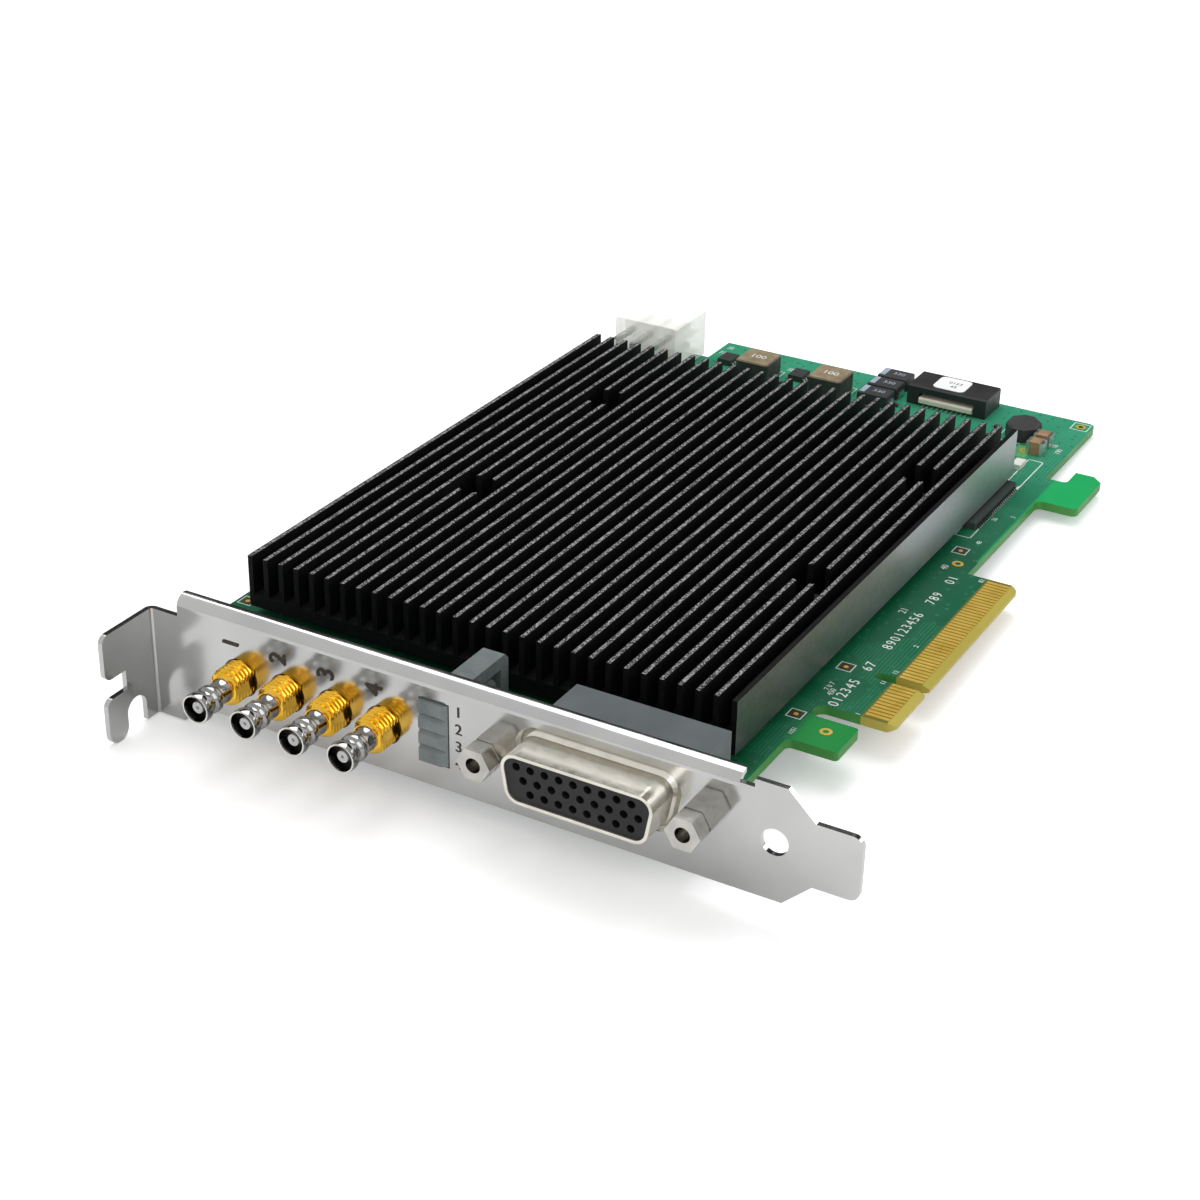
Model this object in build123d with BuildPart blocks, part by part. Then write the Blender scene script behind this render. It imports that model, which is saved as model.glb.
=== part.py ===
"""Frame grabber card, modelled as separate pieces in one frame.

+X points out of the edge that plugs in, +Y runs along the card away from the bracket,
+Z rises from the component side. The origin is on the centreline of the key notch,
at the tips of the edge contacts, half way through the board. Millimetres.
"""
import os
from math import radians, sqrt, tan

from build123d import *

os.makedirs("parts", exist_ok=True)

small_sides = 12                # sides that stand in for a small circle
turned_sides = 24               # sides that stand in for the circles of small turned parts

# Board.
board_thickness = 1.57
key_to_bracket = 57.15          # key centreline to the bracket's outer face
tip_to_tab = 106.0              # contact tips to the tab's outer face
board_height = 108.6            # contact tips to the opposite long edge
board_end_y = 111.15            # far short edge
board_front_gap = 2.3           # bracket face to the board's front edge
near_edge_x = -12.4             # long edge between bracket and foot
foot_y0 = -24.15
foot_y1 = -16.15
foot_x = -4.2
foot_corner = 0.7
slot_end_x = -12.7              # round end of the slot behind the foot
block_y0 = -12.6                # contact block, short part
block_y1 = 39.6                 # contact block, long part
block_corner = 1.5
key_width = 1.9
key_end_x = -8.8
mid_edge_x = -9.2               # long edge beyond the contacts
hook_y0 = 73.15
hook_y1 = 88.25
hook_x = -1.8
hook_inner_x = -7.2
hook_notch_y = 83.05
hook_corner = 1.2
hook_cut = 1.9
inner_corner = 1.0
far_edge_x = -11.3              # long edge beyond the hook
board_corner = 1.4
recess_width = 17.55            # step at the far end that clears the power plug
recess_y = 101.85
tooling_hole_r = 0.6
tooling_inset_x = 2.2
tooling_inset_y = 2.5
bevel_length = 1.3
bevel_height = 0.47

bracket_face_y = -key_to_bracket
tab_face_x = -tip_to_tab
board_top = board_thickness / 2
board_bottom = -board_thickness / 2
board_left_x = -board_height
recess_x = board_left_x + recess_width
board_front_y = bracket_face_y + board_front_gap

# Edge contacts.
contact_pitch = 1.0
contact_width = 0.7
contact_x0 = -5.25
contact_thickness = 0.06
first_contact_y = 1.5
short_contacts = 11
long_contacts = 38

# Heatsink.
sink_inset = 5.0                # board's long edge to the first fin
sink_y0 = -35.05
sink_length = 112.5
fin_count = 30
fin_pitch = 3.0
fin_thickness = 0.9
sink_gap = 1.7                  # board top to the underside of the base
sink_base = 2.25
fin_height = 6.8
well_r = 3.4                    # screw wells cut through the fins
well_first_fin = 5              # the well sits between this fin and the next
well_span_fins = 21
well_y0 = 6.65
well_span_y = 44.2
sink_screw_r = 1.5
sink_hole_clearance = 0.15
screw_head_r = 2.7
screw_head_height = 1.9
screw_hex_across = 2.0
screw_hex_depth = 1.1
screw_tip = 0.5                 # screw end past its nut
nut_across = 5.5
nut_height = 2.0
spacer_r = 2.8

sink_x0 = board_left_x + sink_inset
sink_width = (fin_count - 1) * fin_pitch + fin_thickness
sink_bottom = board_top + sink_gap
fin_root = sink_bottom + sink_base
sink_top = fin_root + fin_height
well_x0 = sink_x0 + (well_first_fin + 0.5) * fin_pitch + fin_thickness / 2
well_x1 = well_x0 + well_span_fins * fin_pitch
well_xs = (well_x0, well_x1)
well_ys = (well_y0, well_y0 + well_span_y)
well_spots = [(x, y) for x in well_xs for y in well_ys]
sink_hole_r = sink_screw_r + sink_hole_clearance

# Bracket.
sheet = 0.86
strip_low = -3.265
strip_width = 18.42
strip_length = 108.82
tongue_reach = 11.2             # tongue past the end of the strip
tongue_width = 10.19
taper_length = 4.3
tongue_corner = 1.6
tab_low = -6.75
tab_width = 18.5
tab_zone = 6.0                  # length of the strip that keeps the tab's width
tab_depth = 11.43
bend_inner_r = 0.5
roll_outer_r = 2.0              # rolled edge along the strip
roll_lip = 0.4
roll_stop = 7.22                # where the rolled edge ends, before the end of the strip
relief_width = 2.3
relief_depth = 1.3
screw_slot_width = 4.42
screw_slot_y = 4.95             # slot axis in front of the bracket's face
screw_slot_top = 5.2            # above the tab's low edge
finger_drop = 0.6               # hook finger tip below the tab's low edge
finger_tip_r = 2.0
tab_notch_y = 6.8
tab_notch_z0 = 7.4              # above the tab's low edge
tab_notch_z1 = 10.8
tab_corner = 1.4
strip_hole_r = 2.1
strip_hole_inset = 1.56         # hole's centre, before the end of the strip
strip_hole_z = 6.15

tongue_length = strip_length + tongue_reach
roll_x1 = strip_length - roll_stop
strip_hole_x = strip_length - strip_hole_inset
strip_top = strip_low + strip_width
tab_top = tab_low + tab_width
bend_outer_r = bend_inner_r + sheet
bracket_back_y = bracket_face_y + sheet

# Coax sockets.
coax_count = 4
coax_pitch = 8.72
coax_from_tab = 17.5
coax_axis_height = 3.6          # above the board
coax_hole_r = 3.2
nose_length = 11.0
nose_r = 2.4
nose_neck_r = 1.75
nose_body_r = 2.05
nose_mouth_r = 2.0
nose_mouth_depth = 1.6
nose_ring_length = 1.9
neck_length = 1.0
core_r = 0.93
core_recess = 0.7
centre_contact_r = 0.3
contact_recess = 0.4
barrel_front = 4.4              # barrel's face in front of the bracket
barrel_r = 3.0
barrel_flats = 4.7
coax_body_gap = 0.55            # bracket's back to the rear housing
coax_body_width = 7.2
coax_body_depth = 9.0

# The 26-way socket.
dsub_from_tab = 79.7
dsub_axis_height = 6.15         # above the board
dsub_screw_spacing = 33.32
dsub_flange_width = 39.14
dsub_flange_height = 12.4
dsub_flange = 0.8
dsub_front = 6.0                # shell rim in front of the bracket's face
dsub_shell_width = 24.99
dsub_shell_height = 7.9
dsub_shell_wall = 0.5
dsub_corner = 2.3
dsub_root_r = 0.9
dsub_angle = 10.0
dsub_window_clearance = 1.3
dsub_face_recess = 0.35
dsub_fit = 0.05                 # insulator to shell
dsub_pitch = 2.29
dsub_row = 1.98
dsub_hole_r = 0.66
hole_sides = 8                  # sides that stand in for a contact hole's circle
dsub_hole_depth = 3.0
dsub_body_width = 25.4
dsub_body_height = 9.6
dsub_body_back = 16.2           # behind the bracket's face
standoff_across = 4.8
standoff_length = 6.0
standoff_groove = 0.45
standoff_groove_at = 3.3
standoff_groove_depth = 0.25
standoff_screw_r = 1.4
standoff_bore_depth = 4.5
standoff_bore_r = 1.2
standoff_hole_clearance = 0.2

# Light pipe.
pipe_from_tab = 52.6
pipe_width = 4.8
pipe_arm_width = 3.8
pipe_lens_pitch = 2.6
pipe_count = 4
pipe_proud = 0.6
pipe_bevel_x = 1.0              # bevel on the front of the lenses
pipe_bevel_y = 0.55
pipe_notch = 0.65               # side of the square that cuts the notch between two lenses
pipe_top_gap = 0.1
pipe_block_depth = 3.4
pipe_arm_height = 2.1
pipe_leg = 2.1
pipe_bend_cut = 1.0             # bevel where an arm turns down
pipe_arm_root = 0.5             # arm's start inside the block
pipe_step = 3.6
pipe_first_leg = 5.2
pipe_window_clearance = 0.2
pipe_led_gap = 0.3
led_height = 0.8
led_size = 1.8

# Power header.
header_inset = 2.8              # board's long edge to the header
header_width = 13.6
header_y0 = 88.9
header_depth = 13.3
header_height = 10.1
header_pitch = 4.2
header_cell = 3.5
header_soften = 0.4
header_cell_depth = 10.8
header_pin = 1.0
header_pin_recess = 2.6         # pin ends behind the cell mouths
header_low_row = 2.9            # pin rows above the board
header_high_row = 7.1
header_low_back = 2.6           # how far each row's legs stand behind the housing
header_high_back = 5.0
header_tail = 2.9
header_hole_clearance = 0.15

# Parts on the far end.
inductor_size = 7.1
inductor_height = 3.6
inductor_base = 0.4
inductor_corner = 0.5
inductor_soften = 0.25
inductor_pad_length = 2.4
inductor_pad_width = 3.2
inductor_pad_reach = 0.3        # pad past the side of its core
inductor_x0 = -78.2
inductor_spacing = 15.95
inductor_y = 98.7
cap_length = 6.3
cap_width = 4.1
cap_height = 2.5
cap_x = -52.35
cap_y0 = 98.65
cap_pitch = 5.05
cap_count = 3
socket_x0 = -47.1
socket_x1 = -30.7
socket_y0 = 102.0
socket_depth = 7.9
socket_height = 3.95
socket_recess_width = 11.4
socket_recess_height = 2.6
socket_recess_depth = 2.4
latch_height = 1.25
latch_lift = 0.5
label_thickness = 0.12
label_width = 6.5
label_length = 6.0
coil_width = 6.1
coil_length = 7.0
coil_height = 3.0
coil_corner = 1.9
coil_soften = 0.4
coil_x = -21.7
coil_y = 98.9
chipcap_length = 3.2
chipcap_width = 2.7
chipcap_height = 2.5
chipcap_x = -16.85
chipcap_y0 = 92.9
chipcap_pitch = 3.9
terminal_share = 0.55           # length of a chip part's end terminal
flash_x1 = -14.4
flash_width = 12.4
flash_from_well = 5.15          # far screw well's centre to the package
flash_length = 20.0
flash_height = 1.2
white_x = -17.4
white_y = 85.2

# Parts under the heatsink.
pad_squeeze = 0.3               # thermal pad between processor and heatsink
pad_inset = 2.5
processor_size = 35.0
memory_count = 4
memory_length = 13.0
memory_width = 8.0
memory_height = 1.1
memory_pitch = 9.6
memory_row_gap = 3.0


def small_hole(r):
    """A drilled hole drawn with few sides, no tighter than r."""
    RegularPolygon(r, small_sides, major_radius=False, mode=Mode.SUBTRACT)


def small_shank(r):
    """A round shank or disc drawn with few sides, no wider than r."""
    RegularPolygon(r, small_sides)


def block(x0, x1, y0, y1, z0, z1, soften=0.0):
    """A block between two corners, its upright edges rounded by soften."""
    with BuildPart() as made:
        with BuildSketch(Plane.XY.offset(z0)):
            with Locations(((x0 + x1) / 2, (y0 + y1) / 2)):
                Rectangle(x1 - x0, y1 - y0)
        extrude(amount=z1 - z0)
        if soften:
            fillet(made.edges().filter_by(Axis.Z), soften)
    return made.part


def save(piece, name):
    """Label a finished piece and write its STEP file."""
    piece.label = name
    export_step(piece, "parts/" + name + ".step")


def corners_at(sketch, spots):
    """The vertices of a sketch that lie on the given points."""
    found = []
    for vertex in sketch.vertices():
        for x, y in spots:
            if abs(vertex.X - x) < 1e-4 and abs(vertex.Y - y) < 1e-4:
                found.append(vertex)
    return found


# Circuit board: one outline, then bevelled contact tips and drilled holes.
header_x0 = board_left_x + header_inset
header_row_z = (header_low_row, header_high_row)
header_row_back = (header_low_back, header_high_back)
key_half = key_width / 2
slot_half = (block_y0 - foot_y1) / 2
header_xs = [header_x0 + header_width / 2 + (i - 1) * header_pitch for i in range(3)]
header_holes = [(x, header_y0 - back) for back in header_row_back for x in header_xs]
board_points = [
    (board_left_x, board_front_y),
    (near_edge_x, board_front_y),
    (near_edge_x, foot_y0),
    (foot_x, foot_y0),
    (foot_x, foot_y1),
    (slot_end_x + slot_half, foot_y1),
    (slot_end_x + slot_half, block_y0),
    (0, block_y0),
    (0, -key_half),
    (key_end_x + key_half, -key_half),
    (key_end_x + key_half, key_half),
    (0, key_half),
    (0, block_y1),
    (mid_edge_x, block_y1),
    (mid_edge_x, hook_y0),
    (hook_x, hook_y0),
    (hook_x, hook_y1),
    (hook_inner_x, hook_y1),
    (hook_inner_x, hook_notch_y),
    (far_edge_x, hook_notch_y),
    (far_edge_x, board_end_y),
    (recess_x, board_end_y),
    (recess_x, recess_y),
    (board_left_x, recess_y),
]
with BuildPart() as circuit_board:
    with BuildSketch(Plane.XY.offset(board_bottom)) as board_outline:
        with BuildLine():
            Polyline(*board_points, close=True)
        make_face()
        fillet(corners_at(board_outline, [(foot_x, foot_y0), (foot_x, foot_y1)]), foot_corner)
        fillet(corners_at(board_outline, [(0, block_y0), (0, block_y1)]), block_corner)
        fillet(corners_at(board_outline, [(hook_x, hook_y0), (mid_edge_x, hook_y0)]), hook_corner)
        chamfer(corners_at(board_outline, [(hook_x, hook_y1)]), hook_cut)
        fillet(corners_at(board_outline, [(hook_inner_x, hook_notch_y), (near_edge_x, foot_y0)]), inner_corner)
        fillet(corners_at(board_outline, [(far_edge_x, board_end_y)]), board_corner)
        with Locations((slot_end_x + slot_half, (foot_y1 + block_y0) / 2)):
            Circle(slot_half, mode=Mode.SUBTRACT)
        with Locations((key_end_x + key_half, 0)):
            Circle(key_half, mode=Mode.SUBTRACT)
        with Locations((far_edge_x - tooling_inset_x, board_end_y - tooling_inset_y)):
            small_hole(tooling_hole_r)
        with Locations(*well_spots):
            small_hole(sink_hole_r)
        with Locations(*header_holes):
            small_hole(header_pin * sqrt(0.5) + header_hole_clearance)
    extrude(amount=board_thickness)
    with BuildSketch(Plane.XZ.offset(-block_y1)):
        for side in (1, -1):
            with BuildLine():
                Polyline(
                    (-bevel_length, side * board_top),
                    (0.1, side * board_top),
                    (0.1, side * (board_top - bevel_height * (1 + 0.1 / bevel_length))),
                    close=True,
                )
            make_face()
    extrude(amount=block_y1 - block_y0, mode=Mode.SUBTRACT)
save(circuit_board.part, "circuit_board")

contact_ys = [-first_contact_y - i * contact_pitch for i in range(short_contacts)]
contact_ys += [first_contact_y + i * contact_pitch for i in range(long_contacts)]
contact_x = (contact_x0 - bevel_length) / 2
contact_length = -bevel_length - contact_x0


def contact_row(z0):
    """One row of flat contacts, seated on a face of the board."""
    with BuildPart() as row:
        with BuildSketch(Plane.XY.offset(z0)):
            with Locations(*[(contact_x, y) for y in contact_ys]):
                Rectangle(contact_length, contact_width)
        extrude(amount=contact_thickness)
    return row.part


save(contact_row(board_top), "contacts_component_side")
save(contact_row(board_bottom - contact_thickness), "contacts_solder_side")

# Heatsink: a comb profile extruded along the card, with four screw wells.
with BuildPart() as heatsink:
    with BuildSketch(Plane.XZ.offset(-sink_y0)):
        with Locations((sink_x0 + sink_width / 2, sink_bottom + sink_base / 2)):
            Rectangle(sink_width, sink_base)
        for index in range(fin_count):
            with Locations((sink_x0 + index * fin_pitch + fin_thickness / 2, fin_root + fin_height / 2)):
                Rectangle(fin_thickness, fin_height)
    extrude(amount=-sink_length)
    with BuildSketch(Plane.XY.offset(fin_root)):
        with Locations(*well_spots):
            Circle(well_r)
    extrude(amount=fin_height, mode=Mode.SUBTRACT)
    with BuildSketch(Plane.XY.offset(sink_bottom)):
        with Locations(*well_spots):
            RegularPolygon(sink_hole_r, small_sides, major_radius=False)
    extrude(amount=sink_base, mode=Mode.SUBTRACT)
save(heatsink.part, "heatsink")

# Heatsink screws, spacers and nuts, four of each.
with BuildPart() as heatsink_screws:
    with BuildSketch(Plane.XY.offset(board_bottom - nut_height - screw_tip)):
        with Locations(*well_spots):
            small_shank(sink_screw_r)
    extrude(amount=fin_root - board_bottom + nut_height + screw_tip)
    with BuildSketch(Plane.XY.offset(fin_root)):
        with Locations(*well_spots):
            RegularPolygon(screw_head_r, turned_sides)
    extrude(amount=screw_head_height)
    with BuildSketch(Plane.XY.offset(fin_root + screw_head_height)):
        with Locations(*well_spots):
            RegularPolygon(screw_hex_across / 2, 6, major_radius=False)
    extrude(amount=-screw_hex_depth, mode=Mode.SUBTRACT)
save(heatsink_screws.part, "heatsink_screws")

with BuildPart() as heatsink_spacers:
    with BuildSketch(Plane.XY.offset(board_top)):
        with Locations(*well_spots):
            RegularPolygon(spacer_r, 6, major_radius=False)
            small_hole(sink_hole_r)
    extrude(amount=sink_gap)
save(heatsink_spacers.part, "heatsink_spacers")

with BuildPart() as heatsink_nuts:
    with BuildSketch(Plane.XY.offset(board_bottom - nut_height)):
        with Locations(*well_spots):
            RegularPolygon(nut_across / 2, 6, major_radius=False)
            RegularPolygon(sink_screw_r, small_sides, mode=Mode.SUBTRACT)
    extrude(amount=nut_height)
save(heatsink_nuts.part, "heatsink_nuts")

# Chips between the board and the heatsink, each with its thermal pad.
processor_x = (well_x0 + well_x1) / 2
processor_y = well_y0 + well_span_y / 2
processor_top = sink_bottom - pad_squeeze
half = processor_size / 2
save(
    block(processor_x - half, processor_x + half, processor_y - half, processor_y + half, board_top, processor_top),
    "main_processor",
)
pad_half = half - pad_inset
save(
    block(
        processor_x - pad_half, processor_x + pad_half, processor_y - pad_half, processor_y + pad_half,
        processor_top, sink_bottom,
    ),
    "processor_thermal_pad",
)
memory_x = processor_x - half - memory_row_gap - memory_length / 2
memory_spots = [(memory_x, processor_y + (i - (memory_count - 1) / 2) * memory_pitch) for i in range(memory_count)]


def memory_layer(z0, z1, inset):
    """The memory chips, or the pads on them, as one set of blocks."""
    with BuildPart() as layer:
        with BuildSketch(Plane.XY.offset(z0)):
            with Locations(*memory_spots):
                Rectangle(memory_length - inset, memory_width - inset)
        extrude(amount=z1 - z0)
    return layer.part


save(memory_layer(board_top, board_top + memory_height, 0), "memory_chips")
save(memory_layer(board_top + memory_height, sink_bottom, 1.0), "memory_thermal_pads")

# Positions on the bracket that several pieces share.
coax_z = board_top + coax_axis_height
coax_xs = [tab_face_x + coax_from_tab + i * coax_pitch for i in range(coax_count)]
dsub_x = tab_face_x + dsub_from_tab
dsub_z = board_top + dsub_axis_height
standoff_xs = (dsub_x - dsub_screw_spacing / 2, dsub_x + dsub_screw_spacing / 2)
pipe_x = tab_face_x + pipe_from_tab
pipe_height = pipe_count * pipe_lens_pitch - pipe_top_gap
pipe_z = board_top + pipe_height / 2


def d_outline(grow):
    """The rounded D profile of the 26-way socket, grown or shrunk on all sides."""
    lean = dsub_shell_height * tan(radians(dsub_angle)) / 2
    wide = dsub_shell_width / 2
    narrow = wide - 2 * lean
    top = dsub_shell_height / 2
    with BuildSketch(Plane.XY, mode=Mode.PRIVATE) as shape:
        with BuildLine():
            Polyline((-wide, top), (wide, top), (narrow, -top), (-narrow, -top), close=True)
        make_face()
        fillet(shape.vertices(), dsub_corner)
        if grow:
            offset(amount=grow)
    return shape.sketch


# Bracket: flat strip, rolled edge, and the tab bent forward at its end.
front_plane = Plane(origin=(0, bracket_face_y, 0), x_dir=(1, 0, 0), z_dir=(0, -1, 0))
strip_mid = (strip_low + strip_top) / 2
x_at = [tab_face_x + d for d in (bend_outer_r, tab_zone, strip_length, strip_length + taper_length, tongue_length)]
strip_points = [
    (x_at[0], tab_low),
    (x_at[1], tab_low),
    (x_at[1], strip_low),
    (x_at[2], strip_low),
    (x_at[3], strip_mid - tongue_width / 2),
    (x_at[4], strip_mid - tongue_width / 2),
    (x_at[4], strip_mid + tongue_width / 2),
    (x_at[3], strip_mid + tongue_width / 2),
    (x_at[2], strip_top),
    (tab_face_x + roll_x1, strip_top),
    (tab_face_x + roll_x1, strip_top - roll_outer_r),
    (x_at[1], strip_top - roll_outer_r),
    (x_at[1], tab_top),
    (x_at[0], tab_top),
]
with BuildPart() as bracket:
    with BuildSketch(front_plane) as strip:
        with BuildLine():
            Polyline(*strip_points, close=True)
        make_face()
        with Locations((tab_face_x + roll_x1 + relief_width / 2, strip_top - relief_depth / 2)):
            Rectangle(relief_width, relief_depth, mode=Mode.SUBTRACT)
        with Locations(*[(x, coax_z) for x in coax_xs]):
            Circle(coax_hole_r, mode=Mode.SUBTRACT)
        with Locations((pipe_x, pipe_z)):
            Rectangle(
                pipe_width + 2 * pipe_window_clearance,
                pipe_height + 2 * pipe_window_clearance,
                mode=Mode.SUBTRACT,
            )
        with Locations((dsub_x, dsub_z)):
            add(d_outline(dsub_window_clearance), mode=Mode.SUBTRACT)
        with Locations(*[(x, dsub_z) for x in standoff_xs]):
            small_hole(standoff_screw_r + standoff_hole_clearance)
        with Locations((tab_face_x + strip_hole_x, strip_hole_z)):
            Circle(strip_hole_r, mode=Mode.SUBTRACT)
    extrude(amount=-sheet)
    tips = bracket.edges().filter_by(Axis.Y).group_by(Axis.X)[-1]
    fillet(tips, tongue_corner)
    # Rolled edge: a quarter ring and a short lip, run along the strip.
    with BuildSketch(Plane.YZ.offset(x_at[1])):
        with BuildLine():
            turn = (bracket_face_y + roll_outer_r, strip_top - roll_outer_r)
            roll_inner_r = roll_outer_r - sheet
            CenterArc(turn, roll_outer_r, 90, 90)
            Line((turn[0], strip_top), (turn[0] + roll_lip, strip_top))
            Line((turn[0] + roll_lip, strip_top), (turn[0] + roll_lip, strip_top - sheet))
            Line((turn[0] + roll_lip, strip_top - sheet), (turn[0], strip_top - sheet))
            CenterArc(turn, roll_inner_r, 90, 90)
            Line((bracket_face_y, turn[1]), (bracket_back_y, turn[1]))
        make_face()
    extrude(amount=roll_x1 - tab_zone)
    lip_ends = bracket.edges().filter_by(Axis.Z).group_by(Axis.Y)[-1]
    fillet(lip_ends, roll_lip * 0.9)
    # Bend between strip and tab.
    with BuildSketch(Plane.XY.offset(tab_low)):
        with BuildLine():
            turn = (tab_face_x + bend_outer_r, bracket_face_y - bend_inner_r)
            CenterArc(turn, bend_outer_r, 90, 90)
            CenterArc(turn, bend_inner_r, 90, 90)
            Line((turn[0], turn[1] + bend_inner_r), (turn[0], turn[1] + bend_outer_r))
            Line((turn[0] - bend_outer_r, turn[1]), (turn[0] - bend_inner_r, turn[1]))
        make_face()
    extrude(amount=tab_width)
    # Tab with its side notch, screw slot and hook finger.
    tab_y0 = bracket_face_y - tab_depth
    tab_y1 = bracket_face_y - bend_inner_r
    slot_y = bracket_face_y - screw_slot_y
    slot_r = screw_slot_width / 2
    slot_top = tab_low + screw_slot_top
    notch_y = bracket_face_y - tab_notch_y
    finger_low = tab_low - finger_drop
    with BuildSketch(Plane.YZ.offset(tab_face_x)) as tab:
        with BuildLine():
            Polyline(
                (tab_y1, tab_low),
                (slot_y + slot_r, tab_low),
                (slot_y + slot_r, slot_top - slot_r),
                (slot_y - slot_r, slot_top - slot_r),
                (slot_y - slot_r, finger_low),
                (tab_y0, finger_low),
                (tab_y0, tab_low + tab_notch_z0),
                (notch_y, tab_low + tab_notch_z0),
                (notch_y, tab_low + tab_notch_z1),
                (tab_y0, tab_low + tab_notch_z1),
                (tab_y0, tab_top),
                (tab_y1, tab_top),
                close=True,
            )
        make_face()
        fillet(corners_at(tab, [(slot_y - slot_r, finger_low), (tab_y0, finger_low)]), finger_tip_r)
        notch_corners = [(tab_y0, tab_low + tab_notch_z0), (tab_y0, tab_low + tab_notch_z1), (tab_y0, tab_top)]
        fillet(corners_at(tab, notch_corners), tab_corner)
        with Locations((slot_y, slot_top - slot_r)):
            Circle(slot_r, mode=Mode.SUBTRACT)
    extrude(amount=sheet)
save(bracket.part, "bracket")

# Coax sockets: the same four pieces at each place along the strip.
coax_body_y0 = bracket_back_y + coax_body_gap
nose_tip_y = bracket_face_y - nose_length
barrel_y0 = bracket_face_y - barrel_front


def across(x, y):
    """A sketch plane across one socket's axis, looking along the card."""
    return Plane(origin=(x, y, coax_z), x_dir=(1, 0, 0), z_dir=(0, 1, 0))


def coax_nose(x):
    """Nickel nose: flared ring, neck and body in steps, with a cup-shaped mouth."""
    neck_y = nose_tip_y + nose_ring_length
    body_y = neck_y + neck_length
    with BuildPart() as nose:
        with BuildSketch(across(x, nose_tip_y)):
            Circle(nose_r)
        extrude(amount=nose_ring_length)
        for y0, y1, r in ((neck_y, body_y, nose_neck_r), (body_y, coax_body_y0, nose_body_r)):
            with BuildSketch(across(x, y0)):
                RegularPolygon(r, turned_sides)
            extrude(amount=y1 - y0)
        with BuildSketch(across(x, nose_tip_y)):
            RegularPolygon(nose_mouth_r, turned_sides)
        extrude(amount=nose_mouth_depth, mode=Mode.SUBTRACT)
    return nose.part


def coax_barrel(x):
    """Gold barrel with a flat on each side; its thread is left to the finish."""
    with BuildPart() as barrel:
        with BuildSketch(across(x, barrel_y0)):
            Circle(barrel_r)
            Rectangle(barrel_flats, 2 * barrel_r, mode=Mode.INTERSECT)
            RegularPolygon(nose_body_r, turned_sides, mode=Mode.SUBTRACT)
        extrude(amount=coax_body_y0 - barrel_y0)
    return barrel.part


def coax_core(x):
    """Pale insulator in the mouth of the nose, drilled for the centre contact."""
    with BuildPart() as core:
        with BuildSketch(across(x, nose_tip_y + core_recess)):
            RegularPolygon(core_r, 2 * small_sides)
            small_hole(centre_contact_r)
        extrude(amount=nose_mouth_depth - core_recess)
    return core.part


for number, x in enumerate(coax_xs, start=1):
    save(coax_nose(x), "coax_nose_" + str(number))
    save(coax_barrel(x), "coax_barrel_" + str(number))
    save(coax_core(x), "coax_core_" + str(number))
    save(
        block(
            x - coax_body_width / 2, x + coax_body_width / 2,
            coax_body_y0, coax_body_y0 + coax_body_depth,
            board_top, board_top + coax_body_width,
        ),
        "coax_housing_" + str(number),
    )

with BuildPart() as coax_centre_contacts:
    for x in coax_xs:
        with BuildSketch(across(x, nose_tip_y + core_recess + contact_recess)):
            RegularPolygon(centre_contact_r, small_sides, major_radius=False)
        extrude(amount=nose_mouth_depth - core_recess - contact_recess)
save(coax_centre_contacts.part, "coax_centre_contacts")

# The 26-way socket: stamped shell, perforated insulator, rear body, jack standoffs.
flange_y0 = bracket_back_y
flange_y1 = flange_y0 + dsub_flange
shell_y0 = bracket_face_y - dsub_front


def facing(y):
    """A sketch plane on the 26-way socket's axis, seen from the front."""
    return Plane(origin=(dsub_x, y, dsub_z), x_dir=(1, 0, 0), z_dir=(0, -1, 0))


def on_root(edge):
    """True for the edges where the D-shaped wall rises from the flange."""
    spot = edge.center()
    inside = abs(spot.X - dsub_x) < dsub_shell_width / 2 + 0.1 and abs(spot.Z - dsub_z) < dsub_shell_height / 2 + 0.1
    return inside and abs(spot.Y - flange_y0) < 1e-3


with BuildPart() as dsub_shell:
    with BuildSketch(facing(flange_y1)):
        RectangleRounded(dsub_flange_width, dsub_flange_height, 1.5)
        with Locations((-dsub_screw_spacing / 2, 0), (dsub_screw_spacing / 2, 0)):
            small_hole(standoff_screw_r + standoff_hole_clearance)
    extrude(amount=dsub_flange)
    with BuildSketch(facing(flange_y0)):
        add(d_outline(0))
    extrude(amount=flange_y0 - shell_y0)
    roots = dsub_shell.edges().filter_by(Plane.XZ).filter_by(on_root)
    chamfer(roots, dsub_root_r)
    with BuildSketch(facing(flange_y1)):
        add(d_outline(-dsub_shell_wall))
    extrude(amount=flange_y1 - shell_y0, mode=Mode.SUBTRACT)
save(dsub_shell.part, "dsub_shell")

hole_rows = []
for row, count in enumerate((9, 9, 8)):
    shift = dsub_pitch / 4 * (-1 if row == 0 else 1)
    for i in range(count):
        hole_rows.append(((i - (count - 1) / 2) * dsub_pitch + shift, (1 - row) * dsub_row))
insulator_y0 = shell_y0 + dsub_face_recess
with BuildPart() as dsub_insulator:
    with BuildSketch(facing(flange_y1)):
        add(d_outline(-dsub_shell_wall - dsub_fit))
    extrude(amount=flange_y1 - insulator_y0)
    with BuildSketch(facing(insulator_y0)):
        with Locations(*hole_rows):
            RegularPolygon(dsub_hole_r, hole_sides)
    extrude(amount=-dsub_hole_depth, mode=Mode.SUBTRACT)
save(dsub_insulator.part, "dsub_insulator")

save(
    block(
        dsub_x - dsub_body_width / 2, dsub_x + dsub_body_width / 2,
        flange_y1, bracket_face_y + dsub_body_back,
        board_top, board_top + dsub_body_height,
    ),
    "dsub_rear_body",
)

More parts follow.
